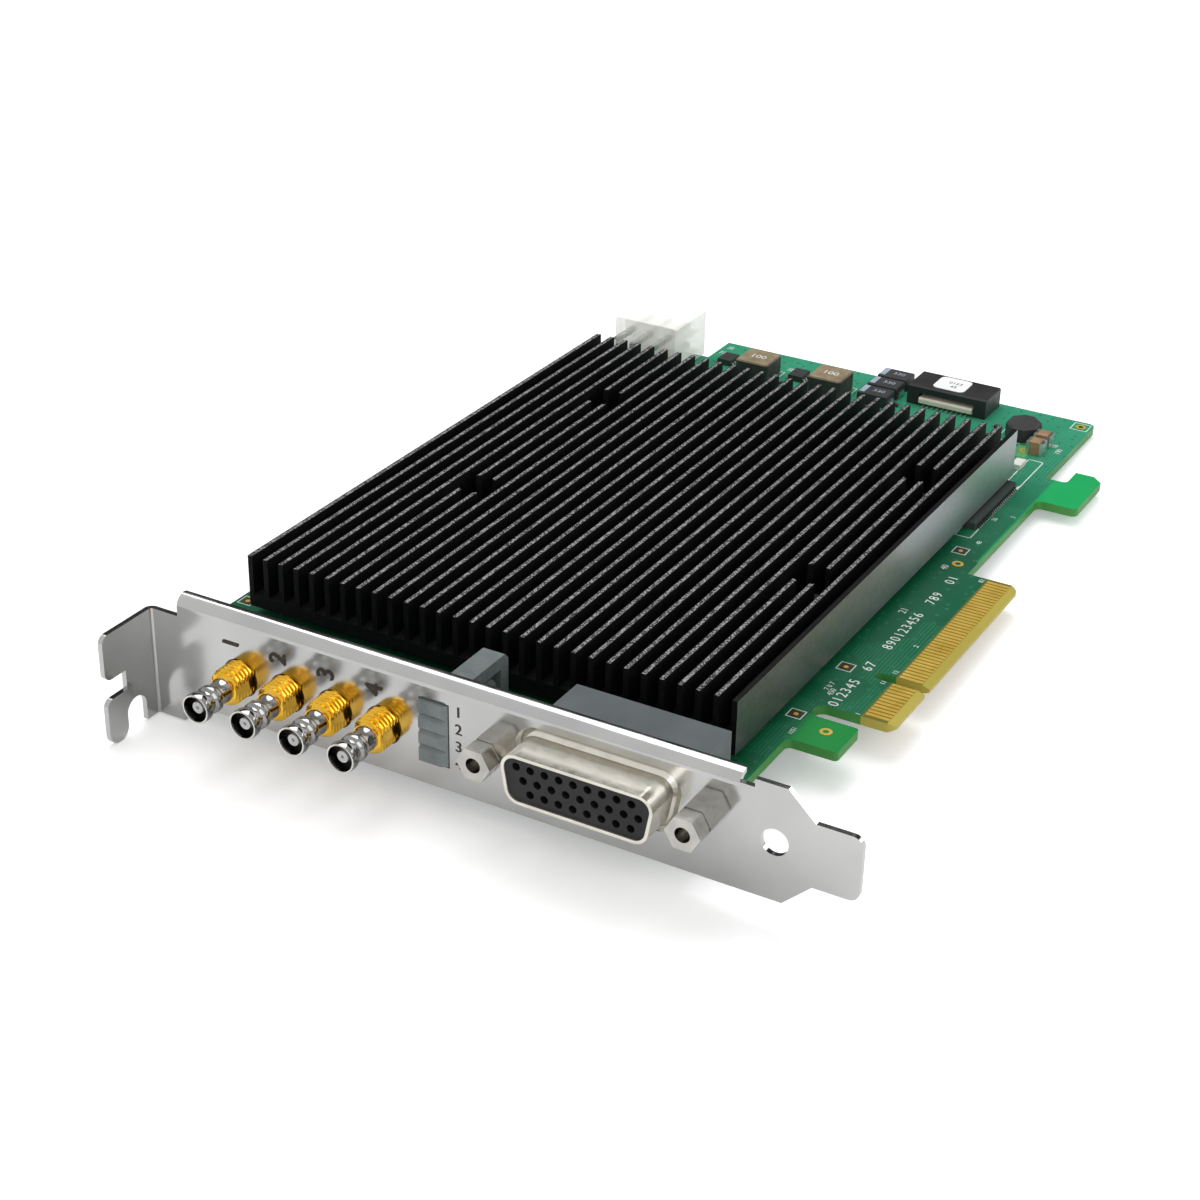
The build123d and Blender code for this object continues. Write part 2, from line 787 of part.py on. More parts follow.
with BuildPart() as jack_standoffs:
    for x in standoff_xs:
        spot = Plane(origin=(x, bracket_face_y, dsub_z), x_dir=(1, 0, 0), z_dir=(0, -1, 0))
        with BuildSketch(spot):
            RegularPolygon(standoff_across / 2, 6, major_radius=False)
        extrude(amount=standoff_length)
        with BuildSketch(spot.offset(standoff_groove_at)):
            RegularPolygon(standoff_across, 6, major_radius=False)
            RegularPolygon(standoff_across / 2 - standoff_groove_depth, 6, major_radius=False, mode=Mode.SUBTRACT)
        extrude(amount=-standoff_groove, mode=Mode.SUBTRACT)
        with BuildSketch(spot.offset(standoff_length)):
            Circle(standoff_bore_r)
        extrude(amount=-standoff_bore_depth, mode=Mode.SUBTRACT)
        with BuildSketch(spot):
            small_shank(standoff_screw_r)
        extrude(amount=-(flange_y1 - bracket_face_y))
save(jack_standoffs.part, "jack_standoffs")

# Light pipe: four lenses in one block, each with an arm that turns down to its light.
pipe_side = pipe_x - pipe_width / 2
block_back = bracket_face_y + pipe_block_depth
with BuildPart() as light_pipe:
    with BuildSketch(Plane.XY.offset(board_top)):
        with BuildLine():
            Polyline(
                (pipe_side, bracket_face_y - pipe_proud),
                (pipe_side + pipe_width - pipe_bevel_x, bracket_face_y - pipe_proud),
                (pipe_side + pipe_width, bracket_face_y - pipe_proud + pipe_bevel_y),
                (pipe_side + pipe_width, block_back),
                (pipe_side, block_back),
                close=True,
            )
        make_face()
    extrude(amount=pipe_height)
    for level in range(1, pipe_count):
        with BuildSketch(Plane.YZ.offset(pipe_side)):
            with Locations((bracket_face_y - pipe_proud, board_top + level * pipe_lens_pitch - pipe_top_gap / 2)):
                Rectangle(pipe_notch, pipe_notch, rotation=45)
        extrude(amount=pipe_width, mode=Mode.SUBTRACT)
    for level in range(pipe_count):
        arm_z = board_top + (level + 1) * pipe_lens_pitch - pipe_top_gap
        leg_y = bracket_face_y + pipe_first_leg + level * pipe_step
        leg_low = board_top + led_height + pipe_led_gap
        under = max(arm_z - pipe_arm_height, leg_low)
        outline = [
            (block_back - pipe_arm_root, arm_z),
            (leg_y + pipe_leg - pipe_bend_cut, arm_z),
            (leg_y + pipe_leg, arm_z - pipe_bend_cut),
            (leg_y + pipe_leg, leg_low),
        ]
        if under > leg_low:
            outline += [(leg_y, leg_low), (leg_y, under)]
        outline += [(block_back - pipe_arm_root, under)]
        with BuildSketch(Plane.YZ.offset(pipe_side)):
            with BuildLine():
                Polyline(*outline, close=True)
            make_face()
        extrude(amount=pipe_arm_width)
save(light_pipe.part, "light_pipe")

led_ys = [bracket_face_y + pipe_first_leg + i * pipe_step + pipe_leg / 2 for i in range(pipe_count)]
with BuildPart() as indicator_leds:
    with BuildSketch(Plane.XY.offset(board_top)):
        with Locations(*[(pipe_side + pipe_arm_width / 2, y) for y in led_ys]):
            Rectangle(led_size, led_size)
    extrude(amount=led_height)
save(indicator_leds.part, "indicator_leds")

# Power header: housing with six square cells that open to the far end, and bent pins.
header_y1 = header_y0 + header_depth
cell_spots = [(x, board_top + z) for z in header_row_z for x in header_xs]
with BuildPart() as power_header:
    with BuildSketch(Plane.XY.offset(board_top)):
        with Locations((header_x0 + header_width / 2, (header_y0 + header_y1) / 2)):
            Rectangle(header_width, header_depth)
    extrude(amount=header_height)
    chamfer(power_header.edges().filter_by(Axis.Y), header_soften)
    with BuildSketch(Plane.XZ.offset(-header_y1)):
        with Locations(*cell_spots):
            Rectangle(header_cell, header_cell)
    extrude(amount=header_cell_depth, mode=Mode.SUBTRACT)
    with BuildSketch(Plane.XZ.offset(-header_y0)):
        with Locations(*cell_spots):
            Rectangle(header_pin, header_pin)
    extrude(amount=-header_depth, mode=Mode.SUBTRACT)
save(power_header.part, "power_header_housing")

with BuildPart() as power_header_pins:
    for z, back in zip(header_row_z, header_row_back):
        level = board_top + z
        leg = header_y0 - back
        pin = header_pin / 2
        for x in header_xs:
            with BuildSketch(Plane.YZ.offset(x - pin)):
                with BuildLine():
                    Polyline(
                        (header_y1 - header_pin_recess, level - pin),
                        (header_y1 - header_pin_recess, level + pin),
                        (leg - pin, level + pin),
                        (leg - pin, board_bottom - header_tail / 2),
                        (leg + pin, board_bottom - header_tail / 2),
                        (leg + pin, level - pin),
                        close=True,
                    )
                make_face()
            extrude(amount=header_pin)
save(power_header_pins.part, "power_header_pins")


def end_terminals(x, y, length, width, z1, share):
    """Two metal ends of a chip part that lies along X on the board."""
    with BuildPart() as ends:
        with BuildSketch(Plane.XY.offset(board_top)):
            with Locations((x - (length + share) / 2, y), (x + (length + share) / 2, y)):
                Rectangle(share, width)
        extrude(amount=z1 - board_top)
    return ends.part


# Power inductors: a softened square core on two end plates.
inductor_x = (inductor_x0, inductor_x0 + inductor_spacing)
for number, x in enumerate(inductor_x, start=1):
    reach = inductor_size / 2
    with BuildPart() as inductor_core:
        with BuildSketch(Plane.XY.offset(board_top + inductor_base)):
            with Locations((x, inductor_y)):
                Rectangle(inductor_size, inductor_size)
        extrude(amount=inductor_height)
        chamfer(inductor_core.edges().filter_by(Axis.Z), inductor_corner)
        chamfer(inductor_core.faces().sort_by(Axis.Z)[-1].edges(), inductor_soften)
    save(inductor_core.part, "inductor_core_" + str(number))
with BuildPart() as inductor_terminals:
    with BuildSketch(Plane.XY.offset(board_top)):
        for x in inductor_x:
            out = inductor_size / 2 + inductor_pad_reach - inductor_pad_length / 2
            with Locations((x - out, inductor_y), (x + out, inductor_y)):
                Rectangle(inductor_pad_length, inductor_pad_width)
    extrude(amount=inductor_base)
save(inductor_terminals.part, "inductor_terminals")

# Polymer capacitors, in a row across the card.
cap_ys = [cap_y0 + i * cap_pitch for i in range(cap_count)]
for number, y in enumerate(cap_ys, start=1):
    with BuildPart() as polymer_capacitor:
        with BuildSketch(Plane.XY.offset(board_top)):
            with Locations((cap_x, y)):
                Rectangle(cap_length, cap_width)
        extrude(amount=cap_height)
        chamfer(polymer_capacitor.faces().sort_by(Axis.Z)[-1].edges(), 0.2)
    save(polymer_capacitor.part, "polymer_capacitor_" + str(number))
with BuildPart() as polymer_terminals:
    for y in cap_ys:
        add(end_terminals(cap_x, y, cap_length, 2.4, board_top + 1.3, 0.3))
save(polymer_terminals.part, "polymer_terminals")

# Expansion socket: a black body with a front recess, its latch bar, label and leads.
socket_x = (socket_x0 + socket_x1) / 2
socket_y1 = socket_y0 + socket_depth
with BuildPart() as expansion_socket:
    with BuildSketch(Plane.XY.offset(board_top)):
        with Locations((socket_x, (socket_y0 + socket_y1) / 2)):
            Rectangle(socket_x1 - socket_x0, socket_depth)
    extrude(amount=socket_height)
    with BuildSketch(Plane.XZ.offset(-socket_y0)):
        with Locations((socket_x, board_top + socket_recess_height / 2)):
            Rectangle(socket_recess_width, socket_recess_height)
    extrude(amount=-socket_recess_depth, mode=Mode.SUBTRACT)
    chamfer(expansion_socket.faces().sort_by(Axis.Z)[-1].edges(), 0.25)
save(expansion_socket.part, "expansion_socket")

latch_half = socket_recess_width / 2 - 0.15
with BuildPart() as socket_latch:
    with BuildSketch(Plane.XY.offset(board_top + latch_lift)):
        with Locations((socket_x, socket_y0 + socket_recess_depth / 2 - 0.25)):
            Rectangle(2 * latch_half, socket_recess_depth + 0.5)
    extrude(amount=latch_height)
    fillet(socket_latch.edges().filter_by(Axis.X).group_by(Axis.Y)[0], 0.4)
save(socket_latch.part, "socket_latch")

with BuildPart() as socket_label:
    with BuildSketch(Plane.XY.offset(board_top + socket_height)):
        with Locations((socket_x - 0.4, (socket_y0 + socket_y1) / 2 + 0.1)):
            RectangleRounded(label_width, label_length, 1.1)
    extrude(amount=label_thickness)
save(socket_label.part, "socket_label")

with BuildPart() as socket_leads:
    with BuildSketch(Plane.XY.offset(board_top)):
        with Locations(*[(socket_x + (i - 4.5) * 1.0, socket_y0 - 0.55) for i in range(10)]):
            Rectangle(0.4, 1.1)
    extrude(amount=0.3)
save(socket_leads.part, "socket_leads")

# Shielded coil with rounded corners.
with BuildPart() as shielded_coil:
    with BuildSketch(Plane.XY.offset(board_top)):
        with Locations((coil_x, coil_y)):
            Rectangle(coil_width, coil_length)
    extrude(amount=coil_height)
    chamfer(shielded_coil.edges().filter_by(Axis.Z), coil_corner)
    chamfer(shielded_coil.faces().sort_by(Axis.Z)[-1].edges(), coil_soften)
save(shielded_coil.part, "shielded_coil")

# Ceramic capacitors beside the coil.
chipcap_ys = (chipcap_y0, chipcap_y0 + chipcap_pitch)
body_length = chipcap_length - 2 * terminal_share
for number, y in enumerate(chipcap_ys, start=1):
    save(
        block(
            chipcap_x - body_length / 2, chipcap_x + body_length / 2,
            y - chipcap_width / 2, y + chipcap_width / 2, board_top, board_top + chipcap_height,
        ),
        "ceramic_capacitor_" + str(number),
    )
with BuildPart() as ceramic_terminals:
    for y in chipcap_ys:
        add(end_terminals(chipcap_x, y, body_length, chipcap_width, board_top + chipcap_height, terminal_share))
save(ceramic_terminals.part, "ceramic_terminals")

# Flat package that reaches out beside the heatsink, and the small white part.
flash_y0 = well_y0 + well_span_y + flash_from_well
flash_top = board_top + flash_height
save(
    block(flash_x1 - flash_width, flash_x1, flash_y0, flash_y0 + flash_length, board_top, flash_top),
    "flash_package",
)
save(
    block(white_x - 0.9, white_x + 0.9, white_y - 1.6, white_y + 1.6, board_top, board_top + 1.0),
    "status_lamp",
)

# Small parts that show between the heatsink and the far end.
chip_back = 8.2                 # chip's centre before its inductor's centre
chip_side = 3.0
chip_length = 4.0
chip_width = 3.0
chip_height = 1.2
small_chips = [(x - chip_back, inductor_y + chip_side) for x in inductor_x]
with BuildPart() as regulator_chips:
    with BuildSketch(Plane.XY.offset(board_top)):
        with Locations(*small_chips):
            Rectangle(chip_width, chip_length)
    extrude(amount=chip_height)
save(regulator_chips.part, "regulator_chips")

resistor_length = 1.6
resistor_width = 0.8
resistor_height = 0.5
resistor_spots = [
    (-88.4, 95.0), (-85.4, 95.0), (-81.0, 92.6), (-72.0, 97.0), (-69.2, 95.0), (-65.2, 92.6),
    (-56.4, 94.9), (-53.2, 95.1), (-47.9, 99.0), (-43.6, 94.6), (-27.3, 95.0), (-27.3, 99.8),
    (-93.6, -39.8), (-91.2, -39.8), (-88.8, -39.8), (-79.2, -39.8),
]
with BuildPart() as chip_resistors:
    with BuildSketch(Plane.XY.offset(board_top)):
        with Locations(*resistor_spots):
            Rectangle(resistor_length, resistor_width)
    extrude(amount=resistor_height)
save(chip_resistors.part, "chip_resistors")
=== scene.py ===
# %% [markdown]
# # A frame grabber card, dressed for its portrait
# The card plugs into a computer and takes in camera pictures. Its solid shapes come
# ready made from the CAD model. This lesson lights them, gives each one a finish, and
# adds the small things that a solid model leaves out: threads, printed numbers, solder,
# leads and pads. Lengths are in metres, and `mm` turns millimetres into metres.

# %% Load the solid model
import bpy
import bmesh
import numpy as np
from mathutils import Matrix, Vector


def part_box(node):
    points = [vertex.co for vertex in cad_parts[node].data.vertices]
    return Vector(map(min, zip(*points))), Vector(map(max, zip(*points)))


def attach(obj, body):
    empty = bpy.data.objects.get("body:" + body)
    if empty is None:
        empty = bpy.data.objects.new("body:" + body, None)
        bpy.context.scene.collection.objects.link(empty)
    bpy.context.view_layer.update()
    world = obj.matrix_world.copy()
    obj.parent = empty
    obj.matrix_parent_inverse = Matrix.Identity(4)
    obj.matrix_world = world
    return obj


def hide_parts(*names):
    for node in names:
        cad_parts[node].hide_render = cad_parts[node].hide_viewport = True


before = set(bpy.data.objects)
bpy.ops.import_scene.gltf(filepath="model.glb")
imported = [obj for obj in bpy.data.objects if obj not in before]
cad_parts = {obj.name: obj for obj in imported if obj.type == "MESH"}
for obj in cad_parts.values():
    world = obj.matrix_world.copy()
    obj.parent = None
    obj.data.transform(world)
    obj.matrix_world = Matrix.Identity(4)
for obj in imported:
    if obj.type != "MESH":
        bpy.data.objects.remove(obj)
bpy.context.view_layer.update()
mm = 0.001
print("nodes in the model:", len(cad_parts))

# %% [markdown]
# ## The camera
# The photograph was taken from the bracket's end, a little above. Three unit vectors
# say where the camera's right side, its top and its back point. They could come from
# Euler angles, but a matrix of three columns leaves no doubt about their order.

# %% Place the camera
camera_right = (0.86763571, 0.49690818, 0.0170451)
camera_up = (-0.24881349, 0.40425408, 0.88015367)
camera_back = (0.43046501, -0.76789381, 0.47438274)
camera_spot = (0.106415, -0.293976, 0.181662)
lens_mm = 69.29

camera_data = bpy.data.cameras.new("camera")
camera_data.lens = lens_mm
camera_data.sensor_width = 36.0
camera_data.clip_start = 0.01
camera = bpy.data.objects.new("camera", camera_data)
turn = Matrix((camera_right, camera_up, camera_back)).transposed().to_4x4()
camera.matrix_world = Matrix.Translation(camera_spot) @ turn
bpy.context.scene.collection.objects.link(camera)
bpy.context.scene.camera = camera
print("camera at", camera_spot, "with a", lens_mm, "mm lens")

# %% [markdown]
# ## Helpers for node trees
# A finish is mostly wiring between nodes. These helpers place a node, feed its sockets
# with constants or with the outputs of other nodes, and hand back the output to go on
# with, so that a finish further down reads almost like a formula.

# %% Helpers for node trees
def feed(tree, socket, value):
    """Links an output to a socket, or writes a constant on it."""
    if isinstance(value, bpy.types.NodeSocket):
        tree.links.new(value, socket)
    else:
        socket.default_value = value


def add_node(tree, kind, **values):
    """A new node, its sockets fed and its properties set by name."""
    node = tree.nodes.new(kind)
    for key, value in values.items():
        if key in node.inputs:
            feed(tree, node.inputs[key], value)
        else:
            setattr(node, key, value)
    return node


def maths(tree, operation, *operands):
    """The output of a Math node that works on outputs and constants."""
    node = add_node(tree, "ShaderNodeMath", operation=operation)
    for socket, operand in zip(node.inputs, operands):
        feed(tree, socket, operand)
    return node.outputs[0]


def ramp(tree, value, start, stop, low=0.0, high=1.0):
    """low where value is below start, high above stop, straight in between."""
    node = tree.nodes.new("ShaderNodeMapRange")
    for socket, operand in zip(node.inputs, (value, start, stop, low, high)):
        feed(tree, socket, operand)
    return node.outputs["Result"]


def split(tree, where):
    """The X, Y and Z outputs of a vector."""
    return add_node(tree, "ShaderNodeSeparateXYZ", Vector=where).outputs


print("node helpers ready")

# %% [markdown]
# ## Light and background
# Small bright metal parts want large soft lights. Three panels and an even sky do
# that. The sky is white where the camera, a mirror or glass looks at it, and dimmer for
# the light it throws on matt surfaces, so that white stays white and black stays black.
# A photographed sky could light the card too, but a plain one needs no file and tints
# nothing.

# %% Build the sky
sky_level = 0.74
world = bpy.data.worlds.new("studio")
bpy.context.scene.world = world
world.use_nodes = True
sky = world.node_tree
sky.nodes.clear()
ray = sky.nodes.new("ShaderNodeLightPath").outputs
seen = maths(sky, "MAXIMUM", ray["Is Camera Ray"], ray["Is Glossy Ray"])
looked_at = maths(sky, "MAXIMUM", seen, ray["Is Transmission Ray"])
backdrop = add_node(sky, "ShaderNodeBackground", Strength=ramp(sky, looked_at, 0.0, 1.0, sky_level))
add_node(sky, "ShaderNodeOutputWorld", Surface=backdrop.outputs[0])
print("sky level on matt surfaces:", sky_level)

# %% Hang the light panels
def light_panel(name, spot, aim, width, height, watts):
    """A soft rectangular light at spot that faces aim."""
    data = bpy.data.lights.new(name, "AREA")
    data.shape = "RECTANGLE"
    data.size = width
    data.size_y = height
    data.energy = watts
    lamp = bpy.data.objects.new(name, data)
    facing = (Vector(aim) - Vector(spot)).to_track_quat("-Z", "Y")
    lamp.matrix_world = Matrix.Translation(spot) @ facing.to_matrix().to_4x4()
    bpy.context.scene.collection.objects.link(lamp)


card_middle = (-0.05, 0.02, 0.0)
light_panel("top_panel", (-0.25, 0.25, 0.75), card_middle, width=0.6, height=0.6, watts=3.5)
light_panel("front_panel", (0.25, -0.75, 0.35), card_middle, width=0.6, height=0.4, watts=1.2)
light_panel("side_panel", (0.45, 0.45, 0.3), card_middle, width=0.3, height=0.3, watts=0.8)
bpy.context.scene.view_settings.view_transform = "Standard"

# %% [markdown]
# ## A black card for the reflections
# Product photographers stand a black card where it isn't in the picture, so that gloss
# mirrors something dark. Without it the lacquer and the black fins would both mirror
# the white sky and look dusty. This one stands behind the card and is seen by mirrored
# rays only.

# %% Stand the black card up
def flat_sheet(name, corners):
    """A flat sheet with four corners, for the studio round the object."""
    mesh = bpy.data.meshes.new(name)
    mesh.from_pydata(np.asarray(corners).tolist(), [], [(0, 1, 2, 3)])
    sheet = bpy.data.objects.new(name, mesh)
    bpy.context.scene.collection.objects.link(sheet)
    return sheet


card_foot = np.array([(-1.1, 0.55, 0.0), (0.5, 0.75, 0.0)])
card_top = card_foot[::-1] + (0.0, 0.0, 0.95)
black_card = flat_sheet("black_card", np.concatenate([card_foot, card_top]))
black_card.visible_camera = False
black_card.visible_diffuse = False
black_card.visible_transmission = False
black_card.visible_shadow = False
print("black card from", card_foot[0], "to", card_top[0])

# %% [markdown]
# ## The floor
# Laid on a table, the card rests on the hooked finger of its bracket, on the nut
# nearest the contacts and on a pin of the power header. Those three points fix a plane,
# and the floor is that plane, moved until the lowest corner of the model just clears it,
# so the card is neither sunk nor floating.

# %% Lay the floor
clearance, floor_reach = 0.02 * mm, 3.0
finger_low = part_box("bracket")[0]
nut_low, nut_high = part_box("heatsink_screws")
pins_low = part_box("power_header_pins")[0]
touch = np.array([      # each a little way in from the corner of its piece's box
    (finger_low[0] + 0.4 * mm, finger_low[1] + 2.2 * mm, finger_low[2]),
    (nut_high[0] - 2.7 * mm, nut_high[1] - 2.7 * mm, nut_low[2]),
    (pins_low[0] + 0.5 * mm, pins_low[1] + 2.9 * mm, pins_low[2]),
])
plane = np.linalg.solve(np.c_[np.ones(3), touch[:, 0], touch[:, 1]], touch[:, 2])
gaps = []
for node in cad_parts.values():
    spots = np.empty(len(node.data.vertices) * 3)
    node.data.vertices.foreach_get("co", spots)
    spots = spots.reshape(-1, 3)
    gaps.append((spots[:, 2] - plane[0] - spots[:, :2] @ plane[1:]).min())
plane[0] += min(gaps) - clearance
corners = floor_reach * np.array([(-1, -1), (1, -1), (1, 1), (-1, 1)])
floor = flat_sheet("floor", np.c_[corners, plane[0] + corners @ plane[1:]])
print("floor slopes by", plane[1:].round(4), "and passes z =", round(float(plane[0]) / mm, 2), "mm")

# %% [markdown]
# ## Shared effects
# Real surfaces are never quite even. Four small node groups are built once and placed in
# many materials with different numbers: blotches for slow changes, speckle for fine
# dots, brushing for drawn metal, and facing, which tells tops from sides.

# %% An empty group
def new_group(name, takes, gives):
    """An empty node group; takes names its inputs, where None stands for a bare vector."""
    group = bpy.data.node_groups.new(name, "ShaderNodeTree")
    for socket, value in takes.items():
        kind = "NodeSocketFloat" if isinstance(value, float) else "NodeSocketVector"
        made = group.interface.new_socket(socket, in_out="INPUT", socket_type=kind)
        if value is not None:
            made.default_value = value
    for socket in gives:
        group.interface.new_socket(socket, in_out="OUTPUT", socket_type="NodeSocketFloat")
    taken, given = group.nodes.new("NodeGroupInput"), group.nodes.new("NodeGroupOutput")
    return group, taken.outputs, given.inputs


print("groups can be built")

# %% Blotches: slow, soft changes
blotches, taken, given = new_group(
    "blotches", {"Vector": None, "Scale": 60.0, "Low": 0.0, "High": 1.0}, ["Value"])
noise = add_node(blotches, "ShaderNodeTexNoise", Vector=taken["Vector"], Scale=taken["Scale"],
                 Detail=3.0, Roughness=0.55)
feed(blotches, given["Value"],
     ramp(blotches, noise.outputs["Fac"], 0.3, 0.7, taken["Low"], taken["High"]))
print("blotches take", [socket.name for socket in taken if socket.name])

# %% Speckle: fine dots that come and go
speckle, taken, given = new_group("speckle", {"Vector": None, "Scale": 4000.0, "Cut": 0.55}, ["Mask"])
noise = add_node(speckle, "ShaderNodeTexNoise", Vector=taken["Vector"], Scale=taken["Scale"],
                 Detail=1.0, Roughness=0.5)
dot_softness = 0.12
dot_edge = maths(speckle, "ADD", taken["Cut"], dot_softness)
feed(speckle, given["Mask"], ramp(speckle, noise.outputs["Fac"], taken["Cut"], dot_edge))
print("speckle takes", [socket.name for socket in taken if socket.name])

# %% Brushing: streaks along one direction
brushing, taken, given = new_group(
    "brushing", {"Vector": None, "Stretch": (1.0, 20.0, 20.0), "Scale": 300.0}, ["Value"])
pull = add_node(brushing, "ShaderNodeVectorMath", operation="MULTIPLY")
feed(brushing, pull.inputs[0], taken["Vector"])
feed(brushing, pull.inputs[1], taken["Stretch"])
noise = add_node(brushing, "ShaderNodeTexNoise", Vector=pull.outputs[0], Scale=taken["Scale"],
                 Detail=2.0, Roughness=0.6)
feed(brushing, given["Value"], noise.outputs["Fac"])
print("brushing takes", [socket.name for socket in taken if socket.name])

# %% Facing: 1 where the surface looks up or down, 0 on upright sides
facing_group, taken, given = new_group("facing", {"Normal": None}, ["Level", "Up"])
tilt = split(facing_group, taken["Normal"])["Z"]
for face, measure in (("Level", maths(facing_group, "ABSOLUTE", tilt)), ("Up", tilt)):
    feed(facing_group, given[face], ramp(facing_group, measure, 0.6, 0.8))
print("shared effects:", [g.name for g in bpy.data.node_groups])

# %% [markdown]
# ## One recipe for plain finishes
# Most finishes here are one colour that drifts a little, a gloss that drifts too, and a
# fine grain in relief. Writing that once as a function keeps each finish to one call,
# with the numbers that make it nickel, moulded plastic or baked ceramic.

# %% The plain recipe
def start_material(name, metal=0.0):
    """A material with its tree, its shader and its Object coordinates."""
    made = bpy.data.materials.new(name)
    made.use_nodes = True
    tree = made.node_tree
    shader = tree.nodes["Principled BSDF"]
    shader.inputs["Metallic"].default_value = metal
    return made, tree, shader, tree.nodes.new("ShaderNodeTexCoord").outputs["Object"]


def use_group(tree, group, where, **values):
    """The outputs of a group placed in a tree, fed with a vector and its own numbers."""
    node = add_node(tree, "ShaderNodeGroup", node_tree=group)
    feed(tree, node.inputs[0], where)
    for key, value in values.items():
        feed(tree, node.inputs[key], value)
    return node.outputs


def mix_colour(tree, mask, first, second):
    """A colour that goes from first to second as the mask goes from 0 to 1."""
    node = add_node(tree, "ShaderNodeMix", data_type="RGBA")
    for socket, value in ((0, mask), (6, first), (7, second)):
        feed(tree, node.inputs[socket], (*value, 1.0) if isinstance(value, tuple) else value)
    return node.outputs[2]


def relief(tree, shader, height, depth):
    """Feeds a height to the shader's normal through a bump node, depth in metres."""
    bump = add_node(tree, "ShaderNodeBump", Strength=1.0, Distance=depth, Height=height)
    feed(tree, shader.inputs["Normal"], bump.outputs[0])


gloss_fineness = 2.3        # gloss changes over shorter lengths than colour


def plain_finish(name, dark, light, gloss, metal=0.0, patch=120.0, grain=3000.0, depth=0.004 * mm,
                 stretch=None):
    """Colour between dark and light, roughness between two values, and a fine grain."""
    made, tree, shader, place = start_material(name, metal)
    tone = use_group(tree, blotches, place, Scale=patch)[0]
    feed(tree, shader.inputs["Base Color"], mix_colour(tree, tone, dark, light))
    rough = use_group(tree, blotches, place, Scale=patch * gloss_fineness, Low=gloss[0], High=gloss[1])
    feed(tree, shader.inputs["Roughness"], rough[0])
    if stretch:
        fine = use_group(tree, brushing, place, Scale=grain, Stretch=stretch)
    else:
        fine = use_group(tree, blotches, place, Scale=grain)
    relief(tree, shader, fine[0], depth)
    return made


def dress(material, *nodes):
    """Gives CAD nodes a material."""
    for name in nodes:
        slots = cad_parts[name].data.materials
        slots.clear()
        slots.append(material)


def numbered(name, count):
    """The names name_1, name_2 and so on."""
    return ["%s_%d" % (name, i) for i in range(1, count + 1)]


print("plain recipe ready")

# %% Floor paper and card black
floor_glow = 0.3
floor_paper = plain_finish("floor_paper", (0.95, 0.95, 0.95), (0.97, 0.97, 0.97), (0.9, 0.95))
paper_tree = floor_paper.node_tree
paper_shader = paper_tree.nodes["Principled BSDF"]
camera_ray = paper_tree.nodes.new("ShaderNodeLightPath").outputs["Is Camera Ray"]
feed(paper_tree, paper_shader.inputs["Emission Strength"],
     maths(paper_tree, "MULTIPLY", camera_ray, floor_glow))
paper_shader.inputs["Emission Color"].default_value = (1.0, 1.0, 1.0, 1.0)
floor.data.materials.append(floor_paper)
card_black = plain_finish("card_black", (0.005, 0.005, 0.005), (0.01, 0.01, 0.01), (0.9, 0.95))
black_card.data.materials.append(card_black)
print("floor and card have their materials")

# %% [markdown]
# ## Metals
# The bracket is nickel-plated sheet with a satin face that blurs what it mirrors. The
# noses are bright nickel, the shell of the 26-way socket is plated duller and paler, and
# the barrels and contacts are gold. Metal gets nearly all its look from what it reflects,
# so colour changes little and roughness does the work. The brushed streaks could be cut
# into the mesh, but a stretched noise costs no faces.

# %% Make the metals
fine_plating = dict(metal=1.0, patch=350.0, grain=5000.0)
bracket_steel = plain_finish(
    "bracket_steel", (0.5, 0.505, 0.5), (0.63, 0.63, 0.62), (0.11, 0.2), metal=1.0,
    patch=45.0, grain=420.0, depth=0.0012 * mm, stretch=(1.0, 30.0, 30.0))
# This nickel goes only on the rims of the noses, as a painted highlight brighter than their chrome.
nickel = plain_finish("nickel", (0.66, 0.64, 0.6), (0.82, 0.8, 0.75), (0.12, 0.24),
                      depth=0.0015 * mm, **fine_plating)
shell_nickel = plain_finish("shell_nickel", (0.72, 0.69, 0.61), (0.86, 0.83, 0.74), (0.16, 0.26),
                            metal=0.85, patch=350.0, grain=5000.0, depth=0.0004 * mm)
standoff_nickel = plain_finish("standoff_nickel", (0.46, 0.45, 0.42), (0.62, 0.6, 0.56), (0.12, 0.24),
                               depth=0.0015 * mm, **fine_plating)
chrome = plain_finish("chrome", (0.27, 0.27, 0.265), (0.38, 0.375, 0.365), (0.03, 0.09),
                      depth=0.0008 * mm, **fine_plating)
# A near-black copy of the chrome: painted shade for the inside of the mouths of the noses.
mouth_painted_shade = plain_finish("mouth_painted_shade", (0.03, 0.03, 0.028), (0.08, 0.078, 0.07), (0.2, 0.3),
                             metal=1.0, patch=500.0)
gold = plain_finish("gold", (0.78, 0.42, 0.02), (0.98, 0.6, 0.08), (0.07, 0.15), metal=1.0,
                    patch=400.0, grain=5000.0, depth=0.001 * mm)
tin = plain_finish("tin", (0.62, 0.62, 0.61), (0.78, 0.78, 0.77), (0.25, 0.4), metal=1.0,
                   patch=500.0, grain=4000.0, depth=0.003 * mm)
solder = plain_finish("solder", (0.6, 0.6, 0.6), (0.8, 0.8, 0.79), (0.18, 0.32), metal=1.0,
                      patch=700.0, grain=2500.0, depth=0.006 * mm)
black_steel = plain_finish("black_steel", (0.035, 0.035, 0.04), (0.07, 0.07, 0.075), (0.32, 0.45),
                           metal=0.6)
dull_plate = plain_finish("dull_plate", (0.3, 0.3, 0.3), (0.42, 0.42, 0.41), (0.35, 0.5), metal=1.0,
                          patch=200.0)
